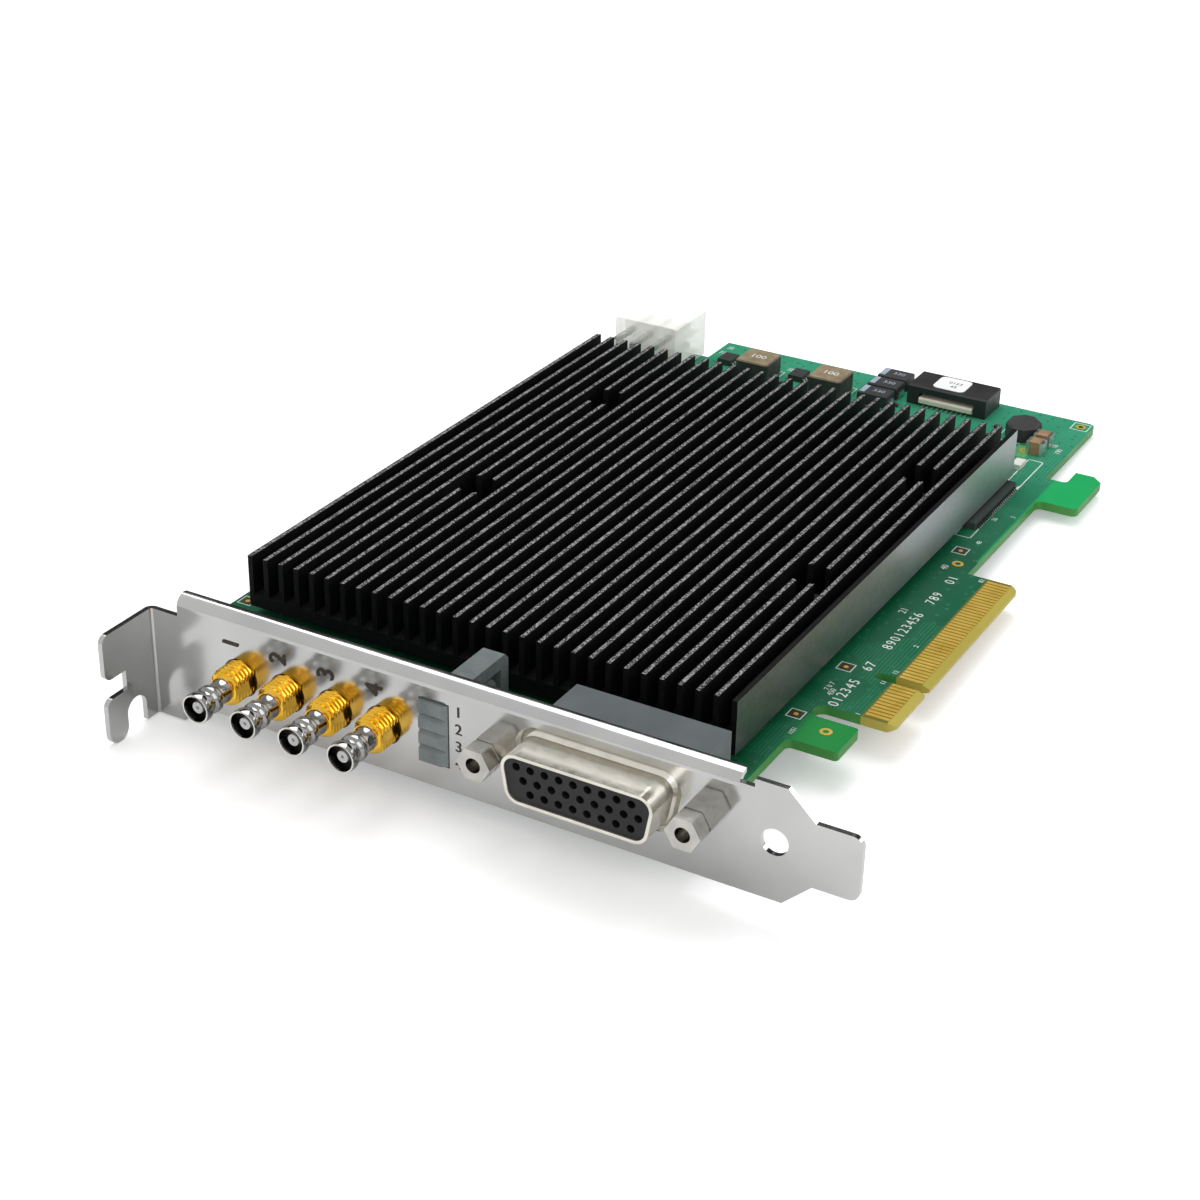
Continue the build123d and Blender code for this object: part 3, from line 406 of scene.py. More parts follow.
# Near-black metal, painted shade: it darkens the contact sleeves deep in their holes and the memory
# package's leads under the heatsink.
painted_shade_metal = plain_finish("painted_shade_metal", (0.03, 0.03, 0.03), (0.07, 0.068, 0.06), (0.3, 0.45),
                           metal=1.0, patch=900.0)
dress(bracket_steel, "bracket")
dress(shell_nickel, "dsub_shell")
dress(standoff_nickel, "jack_standoffs")
dress(chrome, *numbered("coax_nose", 4))
dress(gold, *numbered("coax_barrel", 4))
dress(tin, "coax_centre_contacts", "power_header_pins", "inductor_terminals",
      "polymer_terminals", "ceramic_terminals", "socket_leads")
dress(black_steel, "heatsink_screws", "heatsink_spacers", "heatsink_nuts")
dress(dull_plate, *numbered("coax_housing", 4))
print("metals ready")

# %% [markdown]
# ## Plastics, rubber, ceramic and paper
# Moulded parts differ in gloss and grain more than in colour. The power header is
# natural nylon, cloudy enough to hide its cells and clear enough to show its pins, so
# nearly half of what lies behind it shows through, and a faint light of its own stands
# for the light that the cloudy plastic passes on. Real scattering inside it could be
# traced, but that is slow and noisy. The light pipe is smoky and glossy.

# %% Make the plastics
moulded_black = plain_finish("moulded_black", (0.01, 0.01, 0.011), (0.022, 0.022, 0.024), (0.4, 0.55),
                             grain=6000.0, depth=0.006 * mm)
socket_black = plain_finish("socket_black", (0.004, 0.004, 0.0045), (0.009, 0.009, 0.01), (0.5, 0.6),
                            grain=6000.0)
package_black = plain_finish("package_black", (0.022, 0.022, 0.024), (0.04, 0.04, 0.043), (0.5, 0.65),
                             grain=9000.0, depth=0.006 * mm)
package_grey = plain_finish("package_grey", (0.03, 0.042, 0.038), (0.045, 0.06, 0.055), (0.5, 0.65),
                            grain=9000.0, depth=0.006 * mm)
core_white = plain_finish("core_white", (0.5, 0.5, 0.5), (0.6, 0.6, 0.59), (0.4, 0.5), patch=900.0)
body_grey = plain_finish("body_grey", (0.075, 0.092, 0.095), (0.1, 0.12, 0.123), (0.38, 0.5),
                         grain=5000.0, depth=0.005 * mm)
pipe_grey = plain_finish("pipe_grey", (0.14, 0.163, 0.165), (0.2, 0.223, 0.225), (0.22, 0.32),
                         patch=260.0)
lamp_white = plain_finish("lamp_white", (0.72, 0.72, 0.66), (0.82, 0.82, 0.76), (0.3, 0.4), patch=600.0)
nylon = plain_finish("nylon", (0.96, 0.96, 0.93), (0.99, 0.99, 0.97), (0.5, 0.6), patch=90.0)
ivory = plain_finish("ivory", (0.74, 0.7, 0.57), (0.82, 0.78, 0.66), (0.35, 0.45), patch=300.0)
paper = plain_finish("paper", (0.82, 0.83, 0.84), (0.9, 0.9, 0.9), (0.6, 0.75), patch=300.0)
fired_tan = plain_finish("fired_tan", (0.28, 0.17, 0.09), (0.38, 0.25, 0.14), (0.35, 0.5), patch=600.0)
pad_rubber = plain_finish("pad_rubber", (0.36, 0.42, 0.5), (0.44, 0.5, 0.58), (0.7, 0.85), patch=300.0)
nylon_shader = nylon.node_tree.nodes["Principled BSDF"]
nylon_shader.inputs["Alpha"].default_value = 0.52
nylon_shader.inputs["Specular IOR Level"].default_value = 0.1
nylon_shader.inputs["Emission Color"].default_value = (1.0, 0.96, 0.87, 1.0)
nylon_shader.inputs["Emission Strength"].default_value = 0.07
dress(moulded_black, "expansion_socket")
dress(socket_black, "dsub_insulator")
dress(package_grey, "flash_package")
dress(package_black, "main_processor", "memory_chips", "regulator_chips", "shielded_coil",
      "chip_resistors", *numbered("polymer_capacitor", 3))
dress(core_white, *numbered("coax_core", 4))
dress(body_grey, "dsub_rear_body")
dress(pipe_grey, "light_pipe")
dress(lamp_white, "indicator_leds", "status_lamp")
dress(nylon, "power_header_housing")
dress(ivory, "socket_latch")
dress(paper, "socket_label")
dress(fired_tan, *numbered("ceramic_capacitor", 2))
dress(pad_rubber, "processor_thermal_pad", "memory_thermal_pads")
print("plastics, rubber, ceramic and paper ready")

# %% [markdown]
# ## Iron core with a tan top
# The inductors are pressed from iron powder. Their top is tan and their sides are
# nearly black, so the facing group picks between two colours. A material for each would
# need the block cut in two along its upper edge, which the real one isn't.

# %% Two-tone core
core_two_tone, tree, shader, place = start_material("core_two_tone")
normal = tree.nodes.new("ShaderNodeNewGeometry").outputs["Normal"]
tone = use_group(tree, blotches, place, Scale=500.0)[0]
top_colour = mix_colour(tree, tone, (0.2, 0.15, 0.085), (0.33, 0.255, 0.155))
side_colour = mix_colour(tree, tone, (0.02, 0.02, 0.02), (0.045, 0.04, 0.035))
upward = use_group(tree, facing_group, normal)["Up"]
feed(tree, shader.inputs["Base Color"], mix_colour(tree, upward, side_colour, top_colour))
rough = use_group(tree, blotches, place, Scale=900.0, Low=0.45, High=0.6)[0]
feed(tree, shader.inputs["Roughness"], rough)
grit = use_group(tree, speckle, place, Scale=5000.0, Cut=0.5)[0]
relief(tree, shader, grit, 0.01 * mm)
dress(core_two_tone, *numbered("inductor_core", 2))
print("inductor cores ready")

# %% [markdown]
# ## Black anodised heatsink
# The heatsink is black in depth. Only the sawn tips of the fins and the outer wall are
# lighter, and both are painted light: the tips carry a speckled painted highlight, and the
# satin wall a painted reflection, grey towards the far end and dark towards the bracket.
# Height tells a tip from the floor between two fins, and the sideways position tells the
# wall from the fins, so one material does all three, and the solid stays in one piece, as
# it was extruded.

# %% Where a surface lies
def beyond(tree, where, axis, start, stop):
    """0 where a coordinate is below start, 1 above stop, straight in between."""
    return ramp(tree, split(tree, where)[axis], start, stop)


def times(tree, first, second):
    """The product of two masks."""
    return maths(tree, "MULTIPLY", first, second)


print("masks can be built")

# %% Masks for the tips and the wall
sink_low, sink_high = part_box("heatsink")
fin_count, fin_pitch, edge_break = 30, 3.0 * mm, 0.13 * mm
fin_thickness = sink_high[0] - sink_low[0] - (fin_count - 1) * fin_pitch
half_fin = fin_thickness / 2
anodised, tree, shader, place = start_material("anodised")
normal = tree.nodes.new("ShaderNodeNewGeometry").outputs["Normal"]
across = split(tree, place)["X"]
along_pitch = maths(tree, "FLOORED_MODULO", maths(tree, "SUBTRACT", across, sink_low[0]), fin_pitch)
sawn = maths(tree, "COMPARE", along_pitch, half_fin, half_fin - edge_break)
inner_fin = maths(tree, "LESS_THAN", across, sink_high[0] - fin_thickness)
near_top = beyond(tree, place, "Z", sink_high[2] - 0.4 * mm, sink_high[2] - 0.3 * mm)
level_top = times(tree, use_group(tree, facing_group, normal)["Up"], near_top)
on_tip = times(tree, level_top, times(tree, sawn, inner_fin))
at_side = beyond(tree, place, "X", sink_high[0] - 0.2 * mm, sink_high[0] - 0.1 * mm)
on_wall = times(tree, at_side, beyond(tree, normal, "X", 0.5, 0.7))
print("fins are", round(fin_thickness / mm, 2), "mm thick")

# %% Anodised finish
grains = use_group(tree, speckle, place, Scale=3600.0, Cut=0.47)[0]
tone = use_group(tree, blotches, place, Scale=900.0)[0]
deep_black = mix_colour(tree, tone, (0.003, 0.003, 0.0032), (0.007, 0.007, 0.0075))
# Painted highlight: the tips turn speckled grey where they catch the light.
tip_painted_highlight = mix_colour(tree, grains, (0.035, 0.035, 0.036), (0.34, 0.34, 0.34))
# Painted reflection on the outer wall: dark towards the bracket, grey towards the far end.
painted_reflection_front = mix_colour(tree, tone, (0.07, 0.072, 0.07), (0.1, 0.102, 0.1))
painted_reflection_rear = mix_colour(tree, tone, (0.33, 0.355, 0.37), (0.4, 0.43, 0.445))
painted_reflection_to_rear = beyond(tree, place, "Y", -48.0 * mm, 30.0 * mm)
wall_painted_reflection = mix_colour(tree, painted_reflection_to_rear, painted_reflection_front, painted_reflection_rear)
with_tip = mix_colour(tree, on_tip, deep_black, tip_painted_highlight)
feed(tree, shader.inputs["Base Color"], mix_colour(tree, on_wall, with_tip, wall_painted_reflection))
feed(tree, shader.inputs["Metallic"], times(tree, on_wall, at_side))
shader.inputs["Specular IOR Level"].default_value = 0.12
rough = use_group(tree, blotches, place, Scale=40.0, Low=0.52, High=0.62)[0]
wall_smoother = maths(tree, "MULTIPLY_ADD", on_wall, -0.32, 1.0)
feed(tree, shader.inputs["Roughness"], times(tree, rough, wall_smoother))
relief(tree, shader, grains, 0.004 * mm)
dress(anodised, "heatsink")
print("heatsink ready")

# %% [markdown]
# ## The circuit board
# Green lacquer covers copper tracks, which show as slightly lighter raised lines, and
# plated holes show as small dots. Where there's no copper under it, on the hook and the
# foot, the lacquer is far brighter, for light goes through the laminate there. The bare
# laminate shows yellow round the contacts. All of this could be drawn as geometry, but
# thousands of tracks are lighter as a pattern worked out from the position.

# %% Track pattern
patch_scale, line_share, bare_share = 85.0, 0.4, 0.42
tracks, taken, given = new_group("tracks", {"Vector": None, "Pitch": 0.6 * mm}, ["Mask"])
cells = add_node(tracks, "ShaderNodeTexVoronoi", distance="MANHATTAN", Vector=taken["Vector"],
                 Scale=patch_scale)
pick = add_node(tracks, "ShaderNodeSeparateColor", Color=cells.outputs["Color"]).outputs
spot = split(tracks, taken["Vector"])
across = add_node(tracks, "ShaderNodeMix", data_type="FLOAT")
sideways = maths(tracks, "GREATER_THAN", pick[0], 0.5)
for socket, value in ((0, sideways), (2, spot["X"]), (3, spot["Y"])):
    feed(tracks, across.inputs[socket], value)
saw = maths(tracks, "FRACT", maths(tracks, "DIVIDE", across.outputs[0], taken["Pitch"]))
line = maths(tracks, "LESS_THAN", saw, line_share)
shown = maths(tracks, "GREATER_THAN", pick[1], bare_share)
feed(tracks, given["Mask"], times(tracks, line, shown))
print("tracks take", [socket.name for socket in taken if socket.name])

# %% Hole pattern
holes, taken, given = new_group("holes", {"Vector": None, "Scale": 300.0}, ["Ring", "Hole"])
dots = add_node(holes, "ShaderNodeTexVoronoi", voronoi_dimensions="2D", Vector=taken["Vector"],
                Scale=taken["Scale"], Randomness=0.9)
for mask, radius in (("Ring", 0.1), ("Hole", 0.045)):
    feed(holes, given[mask], maths(holes, "LESS_THAN", dots.outputs["Distance"], radius))
print("holes take", [socket.name for socket in taken if socket.name])

# %% Lacquer over copper
board_green, tree, shader, place = start_material("board_green")
normal = tree.nodes.new("ShaderNodeNewGeometry").outputs["Normal"]
tone = use_group(tree, blotches, place, Scale=25.0)[0]
copper = use_group(tree, tracks, place)[0]
drilled = use_group(tree, holes, place, Scale=330.0)
toward_rear = beyond(tree, place, "Y", 45.0 * mm, 108.0 * mm)
front_green = mix_colour(tree, tone, (0.004, 0.098, 0.045), (0.01, 0.135, 0.058))
plane_green = mix_colour(tree, toward_rear, front_green, (0.036, 0.3, 0.17))
bright_line = mix_colour(tree, toward_rear, (0.016, 0.175, 0.08), (0.055, 0.37, 0.22))
lined = mix_colour(tree, copper, plane_green, bright_line)
ringed = mix_colour(tree, drilled["Ring"], lined, (0.03, 0.22, 0.13))
holed = mix_colour(tree, drilled["Hole"], ringed, (0.004, 0.04, 0.02))
print("lacquer over copper takes", len(tree.nodes), "nodes")

# %% Lacquer over bare laminate, on the hook and the foot
past_hook_root = beyond(tree, place, "X", -9.8 * mm, -9.2 * mm)
on_hook = times(tree, past_hook_root, beyond(tree, place, "Y", 44.0 * mm, 45.0 * mm))
hooked = mix_colour(tree, on_hook, holed, (0.012, 0.4, 0.115))
before_slot = maths(tree, "SUBTRACT", 1.0, beyond(tree, place, "Y", -15.9 * mm, -15.7 * mm))
on_foot = times(tree, beyond(tree, place, "X", -13.0 * mm, -11.5 * mm), before_slot)
lacquer = mix_colour(tree, on_foot, hooked, (0.01, 0.26, 0.05))
print("with the hook and the foot it takes", len(tree.nodes), "nodes")

# %% Bare laminate round the contacts
spot = split(tree, place)
past_lacquer = maths(tree, "GREATER_THAN", spot["X"], -5.6 * mm)
after_first = maths(tree, "GREATER_THAN", spot["Y"], -12.7 * mm)
before_last = maths(tree, "LESS_THAN", spot["Y"], 39.7 * mm)
bare = times(tree, times(tree, after_first, before_last), past_lacquer)
laminate = mix_colour(tree, tone, (0.03, 0.2, 0.035), (0.08, 0.3, 0.07))
bevel = mix_colour(tree, tone, (0.4, 0.33, 0.055), (0.5, 0.42, 0.09))
between = mix_colour(tree, bare, lacquer, (0.17, 0.15, 0.025))
on_bevel = times(tree, bare, beyond(tree, place, "X", -1.4 * mm, -1.2 * mm))
wide_faces = mix_colour(tree, on_bevel, between, bevel)
cut_edge = mix_colour(tree, bare, laminate, bevel)
level_face = use_group(tree, facing_group, normal)["Level"]
feed(tree, shader.inputs["Base Color"], mix_colour(tree, level_face, cut_edge, wide_faces))
shader.inputs["Specular IOR Level"].default_value = 0.22
rough = use_group(tree, blotches, place, Scale=150.0, Low=0.3, High=0.42)[0]
feed(tree, shader.inputs["Roughness"], rough)
relief(tree, shader, copper, 0.02 * mm)
dress(board_green, "circuit_board")

finger_gold = plain_finish("finger_gold", (0.66, 0.42, 0.06), (0.8, 0.55, 0.1), (0.26, 0.38),
                           metal=0.35, patch=160.0, grain=900.0, depth=0.0005 * mm)
dress(finger_gold, "contacts_component_side", "contacts_solder_side")
print("board and contacts ready")

# %% [markdown]
# ## Building pieces from arrays
# Every new piece is worked out with whole arrays of points. Modelling by hand would do
# too, but an array keeps each size readable and repeats it for nothing. One helper turns
# points and faces into a finished object, another makes rows of small blocks, and a third
# turns profiles round an axis.

# %% Helpers for meshes
def placed(name, mesh, material):
    """A finished mesh as a piece of the card, with its material."""
    mesh.materials.append(material)
    piece = bpy.data.objects.new(name, mesh)
    bpy.context.scene.collection.objects.link(piece)
    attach(piece, "root")
    return piece


def finished(name, points, faces, material, slot, smooth=30.0):
    """An object from an (n, 3) array of points and an (m, k) array of faces.

    Edges sharper than smooth, in degrees, stay sharp, and at 0 every face is flat.
    """
    mesh = bpy.data.meshes.new(name)
    mesh.from_pydata(np.asarray(points).reshape(-1, 3).tolist(), [], np.asarray(faces).tolist())
    work = bmesh.new()
    work.from_mesh(mesh)
    bmesh.ops.remove_doubles(work, verts=work.verts, dist=1e-7)
    bmesh.ops.recalc_face_normals(work, faces=work.faces)
    work.to_mesh(mesh)
    work.free()
    if smooth:
        mesh.shade_smooth()
        mesh.set_sharp_from_angle(angle=np.radians(smooth))
    print(name, "has", len(mesh.polygons), "faces")
    return placed(name, mesh, material)


def copied(faces, points_each, count):
    """The faces of one copy repeated for count copies, each with its own points."""
    return (faces[None] + points_each * np.arange(count)[:, None, None]).reshape(-1, faces.shape[-1])


def blocks(low, high):
    """Points and faces of n boxes: corner = low * (1 - pick) + high * pick, pick 0 or 1."""
    low, high = np.atleast_2d(low), np.atleast_2d(high)
    pick = np.array([(x, y, z) for z in (0, 1) for y in (0, 1) for x in (0, 1)])
    points = low[:, None, :] * (1 - pick) + high[:, None, :] * pick
    quads = np.array([(0, 2, 3, 1), (4, 5, 7, 6), (0, 1, 5, 4), (2, 6, 7, 3), (0, 4, 6, 2), (1, 3, 7, 5)])
    return points.reshape(-1, 3), copied(quads, 8, len(low))


def tube_faces(rows, sides):
    """Quads between rows of points, where each row closes on itself."""
    start = np.arange(rows - 1)[:, None] * sides
    a = (start + np.arange(sides)).ravel()
    b = (start + (np.arange(sides) + 1) % sides).ravel()
    return np.stack([a, b, b + sides, a + sides], -1)


def turned(profile, spots, along, sides=24):
    """Profiles of (distance along, radius) turned round an axis, one copy at each spot.

    Point = spot + distance * along + radius * (cos t * u + sin t * v), t from 0 to 2 pi.
    """
    profile, spots, along = np.asarray(profile, float), np.atleast_2d(spots), np.asarray(along, float)
    u = np.array((1.0, 0, 0)) if abs(along[0]) < 0.5 else np.array((0, 1.0, 0))
    v = np.cross(along, u)
    t = np.linspace(0, 2 * np.pi, sides, endpoint=False)
    ring = np.cos(t)[:, None] * u + np.sin(t)[:, None] * v
    points = (spots[:, None, None, :] + profile[None, :, None, 0:1] * along
              + profile[None, :, None, 1:2] * ring[None, None])
    rows = len(profile)
    return points.reshape(-1, 3), copied(tube_faces(rows, sides), rows * sides, len(spots))


def joined(*parts):
    """Several (points, faces) pairs as one pair."""
    shift = np.cumsum([0] + [len(p) for p, f in parts[:-1]])
    return np.concatenate([p for p, f in parts]), np.concatenate([f + s for (p, f), s in zip(parts, shift)])


x_way, y_way, up_z, minus_x = (1, 0, 0), (0, 1, 0), (0, 0, 1), (-1, 0, 0)
print("mesh helpers ready")

# %% [markdown]
# ## Coax sockets
# A gold barrel with a cut thread carries a nickel nose. A thread is a ridge whose height
# depends on how far along and how far round a point is, so it's a surface of two
# parameters. The first turns taper, and two flats are cut by clipping the sideways
# coordinate. Blender's Screw modifier winds a profile too, but leaves no flats.

# %% Threaded barrels
out_of_bracket = (0.0, -1.0, 0.0)
nose_boxes = [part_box("coax_nose_%d" % i) for i in range(1, 5)]
axes = np.array([(low[0] / 2 + high[0] / 2, 0.0, low[2] / 2 + high[2] / 2) for low, high in nose_boxes])
barrel_low, barrel_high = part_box("coax_barrel_1")
barrel_front, barrel_back = barrel_low[1], barrel_high[1]
barrel_radius, inner_radius, flat_half = 3.0 * mm, 2.05 * mm, 2.35 * mm
thread_depth, thread_pitch, ridge_sharpness = 0.58 * mm, 0.76 * mm, 1.3
taper_length, taper_depth, taper_curve = 1.1 * mm, 0.7 * mm, 1.6


def threaded_barrel(centre, around=72, rows_along=64):
    """Points at centre + (r cos t, y, r sin t), with x clipped to two flats.

    r = radius - depth * |2 frac(y / pitch - t / 2 pi) - 1| ** sharpness
        - taper depth * (1 - lead_in) ** taper curve, where lead_in goes from 0 to 1.
    """
    t = np.linspace(0, 2 * np.pi, around + 1)[:-1]
    y = np.linspace(barrel_front, barrel_back, rows_along)
    wave = np.abs(2 * ((y[:, None] / thread_pitch - t / (2 * np.pi)) % 1.0) - 1)
    lead_in = np.clip((y - barrel_front) / taper_length, 0, 1)[:, None]
    thread = barrel_radius - thread_depth * wave ** ridge_sharpness
    thread = thread - taper_depth * (1 - lead_in) ** taper_curve
    end = np.full((1, around), inner_radius)
    radius = np.concatenate([end, thread, end])
    ys = np.concatenate([[y[0]], y, [y[-1]]])
    x = np.clip(radius * np.cos(t), -flat_half, flat_half)
    z = radius * np.sin(t)
    points = np.stack([centre[0] + x, np.broadcast_to(ys[:, None], x.shape), centre[2] + z], -1)
    return points.reshape(-1, 3), tube_faces(len(ys), around)


for i, centre in enumerate(axes, start=1):
    points, faces = threaded_barrel(centre)
    barrel = finished("threaded_barrel_%d" % i, points, faces, gold, "barrel_gold", smooth=40.0)
    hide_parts("coax_barrel_%d" % i)

# %% [markdown]
# ## Noses of the sockets
# The nose has a rolled mouth, a neck that the plug locks behind, and a collar. Turned
# parts like this are a profile spun round an axis, with a small round on every corner.
# Blender's Spin tool does the same by hand, but a profile in the script is easier to
# change. The faces inside the mouth take a much darker metal, a painted shade for the
# depth of the mouth, and the rim takes a brighter nickel, a painted highlight.

# %% Turned noses
nose_tip = nose_boxes[0][0][1]       # distances in the profile run back from here
mouth_radius, rim_depth, mouth_depth = 2.02 * mm, 0.1 * mm, 1.65 * mm
nose_profile = np.array([
    (1.6, 0.0), (1.6, 1.94), (0.25, 2.0), (0.06, 2.08), (0.0, 2.2), (0.06, 2.34), (0.2, 2.4), (1.3, 2.4),
    (1.45, 2.36), (1.9, 1.78), (2.0, 1.72), (2.75, 1.72), (2.85, 1.78), (3.05, 2.14), (3.15, 2.2),
    (4.1, 2.2), (4.25, 2.12), (4.5, 1.9), (4.7, 1.86), (6.6, 1.86), (6.75, 1.95), (6.9, 2.05),
    (12.4, 2.05), (12.4, 0.0)]) * (-1, 1)
for i, centre in enumerate(axes, start=1):
    spot = np.array((centre[0], nose_tip, centre[2]))
    points, faces = turned(nose_profile * mm, spot, out_of_bracket, sides=64)
    nose = finished("turned_nose_%d" % i, points, faces, chrome, "nickel", smooth=35.0)
    nose.data.materials.append(mouth_painted_shade)
    nose.data.materials.append(nickel)
    # Faces inside the mouth take the painted shade, and the faces of the rim take the painted highlight.
    middles = np.array([face.center for face in nose.data.polygons]) - spot
    deep, off_axis = middles[:, 1], np.hypot(middles[:, 0], middles[:, 2])
    in_mouth = (off_axis < mouth_radius) & (deep > rim_depth) & (deep < mouth_depth)
    # The rim's faces take the brighter nickel, a painted highlight.
    on_rim = deep < rim_depth
    metal_index = in_mouth.astype(np.int32) + 2 * on_rim.astype(np.int32)
    nose.data.polygons.foreach_set("material_index", metal_index)
    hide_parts("coax_nose_%d" % i)

# %% [markdown]
# ## Contacts in the 26-way socket
# Each hole of the black insulator holds a small sleeve, well below the face, darkened as painted shade for
# the depth of its hole.
# They are short tubes: the profile goes up the outside, over the rim and down inside.
# Linked copies of one sleeve would look the same, but one array of centres keeps all 26
# in one mesh, on the pitch of the holes.

# %% Contact sleeves
face_low, face_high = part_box("dsub_insulator")
socket_x, socket_z = (face_low[0] + face_high[0]) / 2, (face_low[2] + face_high[2]) / 2
pitch, row_gap, row_counts = 2.29 * mm, 1.98 * mm, (9, 9, 8)


def row_x(row):
    """The sideways places of one row, each row shifted by a quarter pitch."""
    count = row_counts[row]
    shift = pitch / 4 * (-1 if row == 0 else 1)
    return socket_x + (np.arange(count) - (count - 1) / 2) * pitch + shift


places = []
for row, count in enumerate(row_counts):
    row_z = socket_z + (1 - row) * row_gap
    places.append(np.c_[row_x(row), np.full(count, face_low[1]), np.full(count, row_z)])
sleeve = np.array([(-2.95, 0.56), (-1.3, 0.56), (-1.22, 0.5), (-1.3, 0.42), (-2.9, 0.42)]) * mm
points, faces = turned(sleeve, np.concatenate(places), out_of_bracket, sides=14)
finished("contact_sleeves", points, faces, painted_shade_metal, "tinned")

# %% [markdown]
# ## Solder and pins on the underside
# Pins that go through the board end in small cones of solder on the other side. Metaballs
# could flow into such blobs, but one profile turned round each pin has far fewer faces.

# %% Solder cones
downward = (0, 0, -1)
board_low, board_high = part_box("circuit_board")
under, top = board_low[2], board_high[2]
header_low, header_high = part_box("power_header_housing")
pin_pitch, rows_behind = 4.2 * mm, np.array((2.6, 5.0)) * mm
header_x = (header_low[0] + header_high[0]) / 2 + pin_pitch * np.array((-1, 0, 1))
header_y = header_low[1] - rows_behind
pin_spots = np.array([(x, y, under) for y in header_y for x in header_x])
cone = np.array([(0.0, 1.25), (0.08, 1.2), (0.3, 0.86), (0.7, 0.62), (1.0, 0.55), (1.12, 0.4),
                 (1.15, 0.0)]) * mm
back_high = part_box("dsub_rear_body")[1]
tail_y = back_high[1] + np.array((-9.4, -6.9, -4.4)) * mm
tail_spots = np.concatenate([np.c_[row_x(r), np.full(n, tail_y[r]), np.full(n, under)]
                             for r, n in enumerate(row_counts)])
bead = np.array([(0.0, 0.72), (0.05, 0.68), (0.3, 0.42), (0.75, 0.3), (0.95, 0.24), (1.0, 0.0)]) * mm
legs = []
side_inset, front_inset, back_inset = 1.1 * mm, 2.0 * mm, 1.4 * mm
for i in range(1, 5):
    low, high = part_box("coax_housing_%d" % i)
    left_x, right_x = low[0] + side_inset, high[0] - side_inset
    front_y, back_y = low[1] + front_inset, high[1] - back_inset
    legs += [(left_x, front_y, under), (right_x, front_y, under), (left_x, back_y, under),
             (right_x, back_y, under), ((low[0] + high[0]) / 2, (low[1] + high[1]) / 2, under)]
points, faces = joined(turned(cone, pin_spots, downward, sides=20),
                       turned(bead, tail_spots, downward, sides=14),
                       turned(bead * (1.0, 1.25), legs, downward, sides=16))
finished("solder_joints", points, faces, solder, "tinned")

# %% [markdown]
# ## Leads of the flat packages
# A flat chip stands on rows of bent leads. One lead is a short path that leaves the
# body, steps down and runs out on its pad. A bevelled curve would make it round like
# wire, and real leads are stamped flat, so the path is widened into a ribbon, and numpy
# repeats it down both sides.

# %% The shape of a lead
def bent_leads(centres, outward, reach, drop=0.5 * mm, width=0.34 * mm, thick=0.14 * mm):
    """Ribbons that leave each centre outward and step down by drop within reach.

    Point = centre + reach * run * outward + (drop * rise + 0 or thick) * up
            + or - width / 2 * aside, for each (run, rise) on the path.
    """
    path = np.array([(0.0, 1.0), (0.35, 1.0), (0.62, 0.0), (1.0, 0.0)])
    run, rise = path[:, 0] * reach, path[:, 1] * drop
    up, outward = np.array((0, 0, 1.0)), np.asarray(outward, float)
    aside = np.cross(up, outward)
    section = np.stack([run[:, None] * outward + (rise[:, None] + lift) * up + s * width / 2 * aside
                        for lift in (0.0, thick) for s in (-1, 1)], 1)
    points = np.asarray(centres)[:, None, None, :] + section[None]
    k = len(path)
    i = np.arange(k - 1) * 4
    strips = [np.stack([i + c0, i + c1, i + 4 + c1, i + 4 + c0], -1)
              for c0, c1 in ((0, 1), (1, 3), (3, 2), (2, 0))]
    ends = np.array([(0, 2, 3, 1), (4 * k - 4, 4 * k - 3, 4 * k - 1, 4 * k - 2)])
    return points.reshape(-1, 3), copied(np.concatenate(strips + [ends]), 4 * k, len(points))


print("leads can be bent")

# %% Leads of the chips and of the memory package
chip_width = 3.0 * mm
chip_low, chip_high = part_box("regulator_chips")
chip_x = [(chip_low[0], chip_low[0] + chip_width), (chip_high[0] - chip_width, chip_high[0])]
chip_y = chip_low[1] + np.array((0.5, 1.5, 2.5, 3.5)) * mm
small_left, small_right = ([(x[end], y, top) for x in chip_x for y in chip_y] for end in (0, 1))
finished("package_leads", *joined(
    bent_leads(small_left, minus_x, 0.9 * mm), bent_leads(small_right, x_way, 0.9 * mm)),
    tin, "tinned", smooth=20.0)
flash_low, flash_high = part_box("flash_package")
flash_y = np.linspace(flash_low[1] + 1.0 * mm, flash_high[1] - 1.0 * mm, 24)
left, right = ([(x, y, top) for y in flash_y] for x in (flash_low[0], flash_high[0]))
# The memory package's leads take the painted-shade metal, for the shade under the heatsink's edge.
finished("flash_leads", *joined(
    bent_leads(right, x_way, 0.55 * mm), bent_leads(left, minus_x, 0.55 * mm)),
    painted_shade_metal, "tinned", smooth=20.0)

# %% [markdown]
# ## Ends of the chip resistors
# A chip resistor is a dark slab with a bright cap at each end. The caps could be a second
# colour on the slab, but real ones stand a little proud of it, so they are thin blocks
# round both ends, sitting on the board.

# %% Resistor caps
resistor_x = np.array((-88.4, -85.4, -81.0, -72.0, -69.2, -65.2, -56.4, -53.2, -47.9, -43.6,
                       -27.3, -27.3, -93.6, -91.2, -88.8, -79.2)) * mm
resistor_y = np.array((95.0, 95.0, 92.6, 97.0, 95.0, 92.6, 94.9, 95.1, 99.0, 94.6,
                       95.0, 99.8, -39.8, -39.8, -39.8, -39.8)) * mm
cap_reach, cap_height = np.array((0.17, 0.42, 0.0)) * mm, np.array((0.0, 0.0, 0.52 * mm))
caps = []
for end in (-1, 1):
    middle = np.c_[resistor_x + end * 0.65 * mm, resistor_y, np.full(len(resistor_x), top)]
    caps.append(blocks(middle - cap_reach, middle + cap_reach + cap_height))
finished("resistor_caps", *joined(*caps), tin, "tinned", smooth=0)

